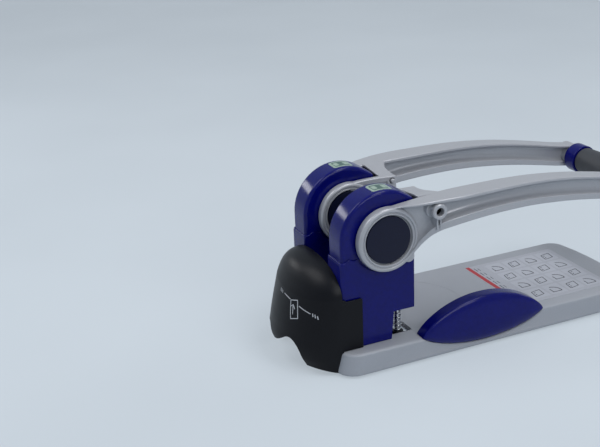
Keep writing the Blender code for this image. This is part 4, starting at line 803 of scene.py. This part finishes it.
def open_sheet(name, grid, material, thick, edge):
    """An open grid as a wall: thickness goes inwards from the side that faces out, and the rim is eased."""
    rows, columns = grid.shape[:2]
    number = np.arange(rows * columns).reshape(rows, columns)
    quads = np.stack([number[:-1, :-1], number[:-1, 1:], number[1:, 1:], number[1:, :-1]], -1).reshape(-1, 4)
    corners = grid.reshape(-1, 3)
    a, b, d = (corners[quads[:, k]] for k in (0, 1, 3))
    if (np.cross(b - a, d - a) * (a - corners.mean(0))).sum() < 0:
        quads = quads[:, ::-1]
    mesh = bpy.data.meshes.new(name)
    mesh.from_pydata(((corners + (PIVOT_X, 0, 0)) * MM).tolist(), [], quads.tolist())
    mesh.materials.append(material)
    made = bpy.data.objects.new(name, mesh)
    wall = made.modifiers.new("wall", "SOLIDIFY")
    wall.thickness = thick * MM
    wall.offset = -1.0
    wall.use_even_offset = True
    rim = made.modifiers.new("rim", "BEVEL")
    rim.width = edge * MM
    rim.segments = 2
    rim.limit_method = "ANGLE"
    rim.angle_limit = math.radians(50)
    return shaded_round(made, 80.0)


def surface_mark(a, b):
    """Printed stroke on the shield from a to b, both (y, z): a flat ribbon on the surface, its edges shut."""
    a, b = np.array(a, float), np.array(b, float)
    along = a + (b - a) * np.linspace(0, 1, 9)[:, None]
    across = np.array([a[1] - b[1], b[0] - a[0]]) / np.linalg.norm(b - a) * MARK_WIDE / 2
    ring = []
    for edge, thin in ((1, 0.1), (1, -MARK_LIFT), (-1, -MARK_LIFT), (-1, 0.1)):
        y, z = (along + edge * across).T
        ring.append(bin_surface(np.arcsin(y / bin_half(arch_bend(z))), z, thin))
    return skin(np.stack(ring, 1))


def chip_bin():
    """The shield, its two side wings, the catch at each wing's top and the plain fill mark."""
    shield = open_sheet("bin_shield", bin_shield(), FINISHES["black_satin"], BIN_WALL, BIN_EDGE)
    fit_to(shield, "bin_unit", "black_satin", "chip_bin")
    wings = []
    for _, side in SIDES:
        wings.append(side_slab(eased_path(WING, WING_RADII, 6), side, WING_SPAN, 0.5))
        wings.append(side_slab(box_outline(*CATCH, 1.2), side, CATCH_SPAN, 0.5))
    fit_to(piece("bin_wings", wings, FINISHES["black_satin"]), "bin_unit", "black_satin")
    frame_lines = tuple(zip(MARK_FRAME, MARK_FRAME[1:] + MARK_FRAME[:1]))
    strokes = [surface_mark(a, b) for a, b in MARK_LINES + frame_lines]
    fit_to(piece("bin_fill_mark", strokes, WHITE_INK), "bin_unit", "black_satin")


# Paper guide

LENS_X, LENS_Z = 102.0, 24.0
LENS_HALF, LENS_UP, LENS_DOWN, LENS_POWER = 70.0, 30.0, 17.0, 0.75
LENS_BACK_Y, LENS_SEAT_Y, LENS_SIDE_Y, LENS_CROWN_Y = 57.0, 66.9, 68.3, 75.0
LENS_OVER_BASE, LENS_MIDDLE_UP = 0.35, 10.0


def lens_outline(share):
    """Pointed oval: z = middle + rise (1 - u^2)^power, u from -1 to 1 along it, the rise larger above."""
    turn = np.linspace(0, 2 * math.pi, 240, endpoint=False)
    u = -np.cos(turn)
    rise = np.where(turn < math.pi, LENS_UP, -LENS_DOWN)
    return np.stack([LENS_X + LENS_HALF * share * u, LENS_Z + share * rise * (1 - u * u) ** LENS_POWER], -1)


def guide_head():
    """Layers of the oval from the back outwards: above the base it starts further in, below it at the seat,
    and the outer face rounds over as share = (1 - d^2.6)^0.45 of the depth d past the straight side."""
    full = lens_outline(1.0)
    upper = full.copy()
    upper[:, 1] = np.maximum(upper[:, 1], BASE_TOP + LENS_OVER_BASE)
    middle = np.array([LENS_X, LENS_Z + LENS_MIDDLE_UP])
    layers = [(upper - middle) * 0.985 + middle, upper, upper, full, full]
    levels = [LENS_BACK_Y, LENS_BACK_Y + 0.7, LENS_SEAT_Y, LENS_SEAT_Y, LENS_SIDE_Y]
    deep = np.sin(np.linspace(0, math.pi / 2, 22))[1:] * 0.999
    layers += [lens_outline((1 - d**2.6) ** 0.45) for d in deep]
    levels += [LENS_SIDE_Y + (LENS_CROWN_Y - LENS_SIDE_Y) * d for d in deep]
    flat = np.stack(layers)
    out = np.array(levels)[:, None] + np.zeros(flat.shape[:2])
    rows = np.stack([flat[..., 0], -out, flat[..., 1]], -1)
    made = piece("paper_guide_head", [skin(rows)], FINISHES["blue_gloss"])
    fit_to(made, "guide_unit", "blue_gloss", "guide_head")


# Grip

SLEEVE_HALF, SLEEVE_ENDS, SLEEVE_BELLY, SLEEVE_ROUND = 34.2, 13.9, 0.7, 2.2
COLLAR_IN, COLLAR_OUT, COLLAR_R = 34.6, 51.3, 15.5


def grip():
    """Sleeve: a barrel, radius = ends + belly (1 - (y / half)^2), its ends eased by a quarter circle.
    Collars: cups with a rolled shoulder."""
    y = SLEEVE_HALF * np.sin(np.linspace(-1, 1, 41) * math.pi / 2)
    past = np.maximum(np.abs(y) - SLEEVE_HALF + SLEEVE_ROUND, 0) / SLEEVE_ROUND
    eased = SLEEVE_ROUND * (1 - np.sqrt(np.clip(1 - past**2, 0, 1)))
    radius = SLEEVE_ENDS + SLEEVE_BELLY * (1 - (y / SLEEVE_HALF) ** 2) - eased
    barrel = turned(np.stack([radius, y], -1), (GRIP_X, GRIP_Z))
    sleeve = piece("grip_cover", [barrel], FINISHES["sleeve_rubber"])
    fit_to(sleeve, "grip_unit", "sleeve_rubber", "grip_sleeve")
    for name, side in SIDES:
        corners = [(1.0, COLLAR_IN), (COLLAR_R, COLLAR_IN), (COLLAR_R, COLLAR_OUT), (1.0, COLLAR_OUT)]
        profile = eased_path(corners, [0, 0.9, 3.2, 0], 8, closed=False)
        cup = turned(profile * (1, side), (GRIP_X, GRIP_Z))
        collar = piece(name + "_collar_shell", [cup], FINISHES["blue_gloss"])
        fit_to(collar, "handle_unit", "blue_gloss", "grip_collar_" + name)


# Base trim and label

LABEL_LOW = 23.5
LABEL_X0, LABEL_X1, LABEL_HALF = 156.8, 268.7, 53.7
CELL_TOP, RED_TOP, BAR_TOP, DRAWING_TOP = 23.67, 23.68, 23.69, 23.71
CELL_COLUMNS, CELL_ROWS, BAR_ROWS = 4, 4, 8
PRINT_EDGE = 0.03


def flat_strip(a, b, width, top):
    """Thin bar on the label between two points in plan, with square ends."""
    a, b = np.array(a, float), np.array(b, float)
    across = np.array([a[1] - b[1], b[0] - a[0]]) / np.linalg.norm(b - a) * width / 2
    outline = np.stack([a - across, b - across, b + across, a + across])
    return slab(outline, LABEL_LOW, top, PRINT_EDGE, 2, 2)


def flat_cell(low_corner, high_corner, radius, top):
    """Thin round-cornered rectangle on the label, given in plan."""
    return slab(box_outline(low_corner, high_corner, radius), LABEL_LOW, top, PRINT_EDGE, 2, 2)


def label_print():
    """The base's label: a red edge, two columns of short bars beside it, and a grid of pale cells, each with
    a plain line drawing."""
    red = flat_cell((LABEL_X0 + 0.4, 0.5 - LABEL_HALF), (LABEL_X0 + 5.0, LABEL_HALF - 0.5), 0.4, RED_TOP)
    fit_to(piece("label_red_edge", [red], RED_INK), "base_unit", "label_film")
    cells, lines = [], []
    x0, x1 = LABEL_X0 + 20.0, LABEL_X1 - 4.0
    y0, y1 = 4.0 - LABEL_HALF, LABEL_HALF - 4.0
    step_x, step_y = (x1 - x0) / CELL_COLUMNS, (y1 - y0) / CELL_ROWS
    wide, deep = step_x / 2 - 1.2, step_y / 2 - 1.4
    for column in range(CELL_COLUMNS):
        for row in range(CELL_ROWS):
            x, y = x0 + step_x * (column + 0.5), y0 + step_y * (row + 0.5)
            cells.append(flat_cell((x - wide, y - deep), (x + wide, y + deep), 1.8, CELL_TOP))
            lines += (sheet_drawing, lever_drawing)[(column + row) % 2](x, y)
    for row in range(BAR_ROWS):
        y = y0 + (y1 - y0) * (row + 0.5) / BAR_ROWS
        for x, reach, width in ((LABEL_X0 + 8.0, 4.2, 0.9), (LABEL_X0 + 11.5, 2.2, 0.7)):
            lines.append(flat_strip((x, y - 4.2), (x, y + reach), width, BAR_TOP))
    fit_to(piece("label_cells", cells, CELL_INK), "base_unit", "label_film")
    fit_to(piece("label_line_drawings", lines, GREY_INK), "base_unit", "label_film")


def sheet_drawing(x, y):
    """Line drawing in a cell: a slanted sheet with two punched holes."""
    corners = [(x - 6.0, y - 7.0), (x + 5.0, y - 5.0), (x + 6.5, y + 6.0), (x - 4.5, y + 4.0)]
    strokes = [flat_strip(a, b, 1.0, DRAWING_TOP) for a, b in zip(corners, corners[1:] + corners[:1])]
    turn = np.linspace(0, 2 * math.pi, 16, endpoint=False)
    for dx, dy in ((-3.2, -3.4), (-2.2, 1.2)):
        dot = np.stack([x + dx + 0.9 * np.cos(turn), y + dy + 0.9 * np.sin(turn)], -1)
        strokes.append(slab(dot, LABEL_LOW, DRAWING_TOP, PRINT_EDGE, 2, 2))
    return strokes


def lever_drawing(x, y):
    """Line drawing in a cell: a lever's curve over its foot."""
    turn = np.linspace(-0.2, 1.5, 9)
    curve = np.stack([x - 4.0 + 9.0 * np.cos(turn), y - 4.0 + 9.0 * np.sin(turn)], -1)
    strokes = [flat_strip(a, b, 1.3, DRAWING_TOP) for a, b in zip(curve, curve[1:])]
    strokes.append(flat_strip((x - 6.5, y - 6.5), (x + 5.0, y - 6.5), 1.1, DRAWING_TOP))
    strokes.append(flat_strip((x - 5.5, y - 6.5), (x - 5.5, y + 1.0), 1.1, DRAWING_TOP))
    return strokes


BEAD_X, BEAD_R, BEAD_TURN, BEAD_STEPS = 50.5, 64.5, 0.9, 80
BEAD_SECTION = np.array([(-0.9, -0.2), (-0.5, 0.26), (0.0, 0.45), (0.5, 0.26), (0.9, -0.2)])


def base_bead():
    """Shallow raised line on the base's top: a section carried along an arc of a circle between the arms."""
    turn = np.linspace(-BEAD_TURN, BEAD_TURN, BEAD_STEPS)[:, None]
    away = BEAD_R + BEAD_SECTION[:, 0]
    z = BASE_TOP + BEAD_SECTION[:, 1] + np.zeros((BEAD_STEPS, 1))
    rows = np.stack([BEAD_X + away * np.cos(turn), away * np.sin(turn), z], -1)
    fit_to(piece("base_arc_bead", [skin(rows)], FINISHES["base_grey"], 60.0), "base_unit", "base_grey")


# Springs

WIRE_R, SPRING_TURNS, STEPS_A_TURN = 0.48, 10, 40


def spring(name):
    """Round wire along a helix, (R cos t, R sin t, rise), whose first and last half turns lie flat; it rides
    on its punch unit."""
    low, high = (np.array(corner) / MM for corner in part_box("spring_" + name))
    centre = (low + high) / 2
    radius = (high[0] - low[0]) / 2 - WIRE_R
    turn = np.linspace(0, 2 * math.pi * SPRING_TURNS, SPRING_TURNS * STEPS_A_TURN + 1)
    climb = np.clip((turn - math.pi) / (turn[-1] - 2 * math.pi), 0, 1)
    z = low[2] + WIRE_R + (high[2] - low[2] - 2 * WIRE_R) * climb
    out = np.stack([np.cos(turn), np.sin(turn), np.zeros_like(turn)], -1)
    path = radius * out + np.stack([np.full_like(z, centre[0] - PIVOT_X), np.full_like(z, centre[1]), z], -1)
    around = np.linspace(0, 2 * math.pi, 10, endpoint=False)[:, None]
    wire = WIRE_R * (np.cos(around) * out[:, None, :] + np.sin(around) * np.array([0.0, 0.0, 1.0]))
    made = piece(name + "_return_spring", [skin(path[:, None, :] + wire)], FINISHES["bright_steel"], 60.0)
    fit_to(made, "punch_unit_" + name, "bright_steel", "spring_" + name)
    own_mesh(made)


# Put together

NEW_SHAPES = ("arm_", "cap_", "chip_bin", "guide_head", "grip_sleeve", "grip_collar_", "spring_")


def polish_nodes():
    """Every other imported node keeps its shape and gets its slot's finish."""
    bodies = frame["record"]["behaviour"]["bodies"]
    body_of = {node: body for body, nodes in bodies.items() for node in nodes}
    for part in frame["record"]["subparts"]:
        if not part["node"].startswith(NEW_SHAPES):
            polished(part["node"], body_of[part["node"]], part["material_slot"])


polish_nodes()
for label, way in SIDES:
    fork_arm(label, way)
    ring_cap(label + "_outer_cap", way * OUTER_RING_Y, way, OUTER_RING_THICK, "cap_outer_" + label)
    ring_cap(label + "_inner_cap", way * INNER_RING_Y, -way, INNER_RING_THICK, "cap_inner_" + label)
    skirt(label, way)
    crown_labels(label, way)
    spring(label)
chip_bin()
guide_head()
grip()
label_print()
base_bead()

# Studio

ROOM_R, ROOM_BEND, ROOM_TOP, ROOM_SIDES = 2.6, 1.4, 3.2, 96
# Share of the paper's own even tone in what is seen of it directly
SEEN_SHARE = 0.6


def studio_room():
    """Floor that bends up into a round wall: a turned profile of a flat disc, a quarter circle and a wall."""
    turn = np.linspace(0, math.pi / 2, 14)
    profile = [(0.05, 0.0)] + [(r, 0.0) for r in np.linspace(0.3, ROOM_R, 6)]
    profile += [(ROOM_R + ROOM_BEND * math.sin(t), ROOM_BEND * (1 - math.cos(t))) for t in turn[1:]]
    profile += [(ROOM_R + ROOM_BEND, ROOM_TOP)]
    radius, height = np.array(profile).T[:, :, None]
    around = np.linspace(0, 2 * math.pi, ROOM_SIDES, endpoint=False)
    x, y = radius * np.cos(around), radius * np.sin(around)
    rows = np.stack([x, y, height + np.zeros_like(x)], -1)
    number = np.arange(x.size).reshape(x.shape)
    low, high = number[:-1], number[1:]
    quads = np.stack([high, np.roll(high, -1, 1), np.roll(low, -1, 1), low], -1).reshape(-1, 4)
    mesh = bpy.data.meshes.new("studio_room")
    mesh.from_pydata(rows.reshape(-1, 3).tolist(), [], quads.tolist() + [number[0].tolist()])
    mesh.polygons.foreach_set("use_smooth", np.ones(len(mesh.polygons), bool))
    room = bpy.data.objects.new("studio_room", mesh)
    bpy.context.scene.collection.objects.link(room)
    mesh.materials.append(paper_backdrop())


def seen_directly(tree):
    """1 for what the camera, a reflection or glass sees, 0 for bounced light."""
    ray = add(tree, "ShaderNodeLightPath")
    summed = {"operation": "ADD"}
    first = add(tree, "ShaderNodeMath", summed, _0=(ray, "Is Camera Ray"), _1=(ray, "Is Glossy Ray"))
    return add(tree, "ShaderNodeMath", summed, _0=(first, "Value"), _1=(ray, "Is Transmission Ray"))


def paper_backdrop():
    """Pale blue-grey backdrop paper: matt, faintly mottled; part of what the camera and reflections see of it
    is its own even tone, so that it stays pale while the object's shadow still falls on it."""
    made, tree, shader = new_finish("backdrop_paper", Roughness=0.9)
    place = add(tree, "ShaderNodeTexCoord")
    mottle = add(tree, "ShaderNodeTexNoise", Vector=(place, "Object"), Scale=2.5, Detail=2.0)
    tint = add(
        tree,
        "ShaderNodeValToRGB",
        stops=((0.3, srgb("c9d3dc")), (0.7, srgb("cdd7e0"))),
        Fac=(mottle, "Fac"),
    )
    tree.links.new(tint.outputs["Color"], shader.inputs["Base Color"])
    scaled = {"operation": "MULTIPLY"}
    part = add(tree, "ShaderNodeMath", scaled, _0=(seen_directly(tree), "Value"), _1=SEEN_SHARE)
    even = add(tree, "ShaderNodeEmission", Color=(tint, "Color"), Strength=1.0)
    mixed = add(tree, "ShaderNodeMixShader", _0=(part, "Value"), _1=(shader, "BSDF"), _2=(even, "Emission"))
    tree.links.new(mixed.outputs["Shader"], tree.nodes["Material Output"].inputs["Surface"])
    return made


def studio_world():
    """Soft room light; the camera, reflections and glass see the backdrop's tone beyond the wall's top."""
    world = bpy.data.worlds.new("studio_world")
    bpy.context.scene.world = world
    world.use_nodes = True
    tree = world.node_tree
    tree.nodes.clear()
    soft = add(tree, "ShaderNodeBackground", Color=(0.92, 0.95, 1.0, 1.0), Strength=0.3)
    tone = add(tree, "ShaderNodeBackground", Color=srgb("b4c0cc"), Strength=1.0)
    mixed = add(
        tree,
        "ShaderNodeMixShader",
        _0=(seen_directly(tree), "Value"),
        _1=(soft, "Background"),
        _2=(tone, "Background"),
    )
    add(tree, "ShaderNodeOutputWorld", Surface=(mixed, "Shader"))


def softbox(name, direction, distance, size, power):
    """Rectangular lamp seen from the columns in the given direction, facing them."""
    aim = Vector((PIVOT_X * MM, 0.0, PIVOT_Z * MM * 0.8))
    lamp = bpy.data.lights.new(name, "AREA")
    lamp.shape = "RECTANGLE"
    lamp.size, lamp.size_y = size
    lamp.energy = power
    held = bpy.data.objects.new(name, lamp)
    bpy.context.scene.collection.objects.link(held)
    held.location = aim + Vector(direction).normalized() * distance
    held.rotation_euler = (aim - held.location).to_track_quat("-Z", "Y").to_euler()


studio_room()
studio_world()
softbox("top_softbox", (0.3, -0.25, 0.92), 1.7, (0.8, 0.6), 9.0)
softbox("left_softbox", (-0.52, 0.28, 0.78), 1.5, (0.8, 0.8), 7.5)
softbox("rim_softbox", (-0.46, 0.84, 0.32), 1.5, (0.4, 0.2), 1.8)
softbox("right_softbox", (0.91, 0.05, 0.42), 1.9, (0.7, 0.7), 3.0)
softbox("front_softbox", (0.1, -0.8, 0.6), 1.8, (1.2, 0.8), 9.0)

bpy.context.scene.view_settings.view_transform = "Standard"
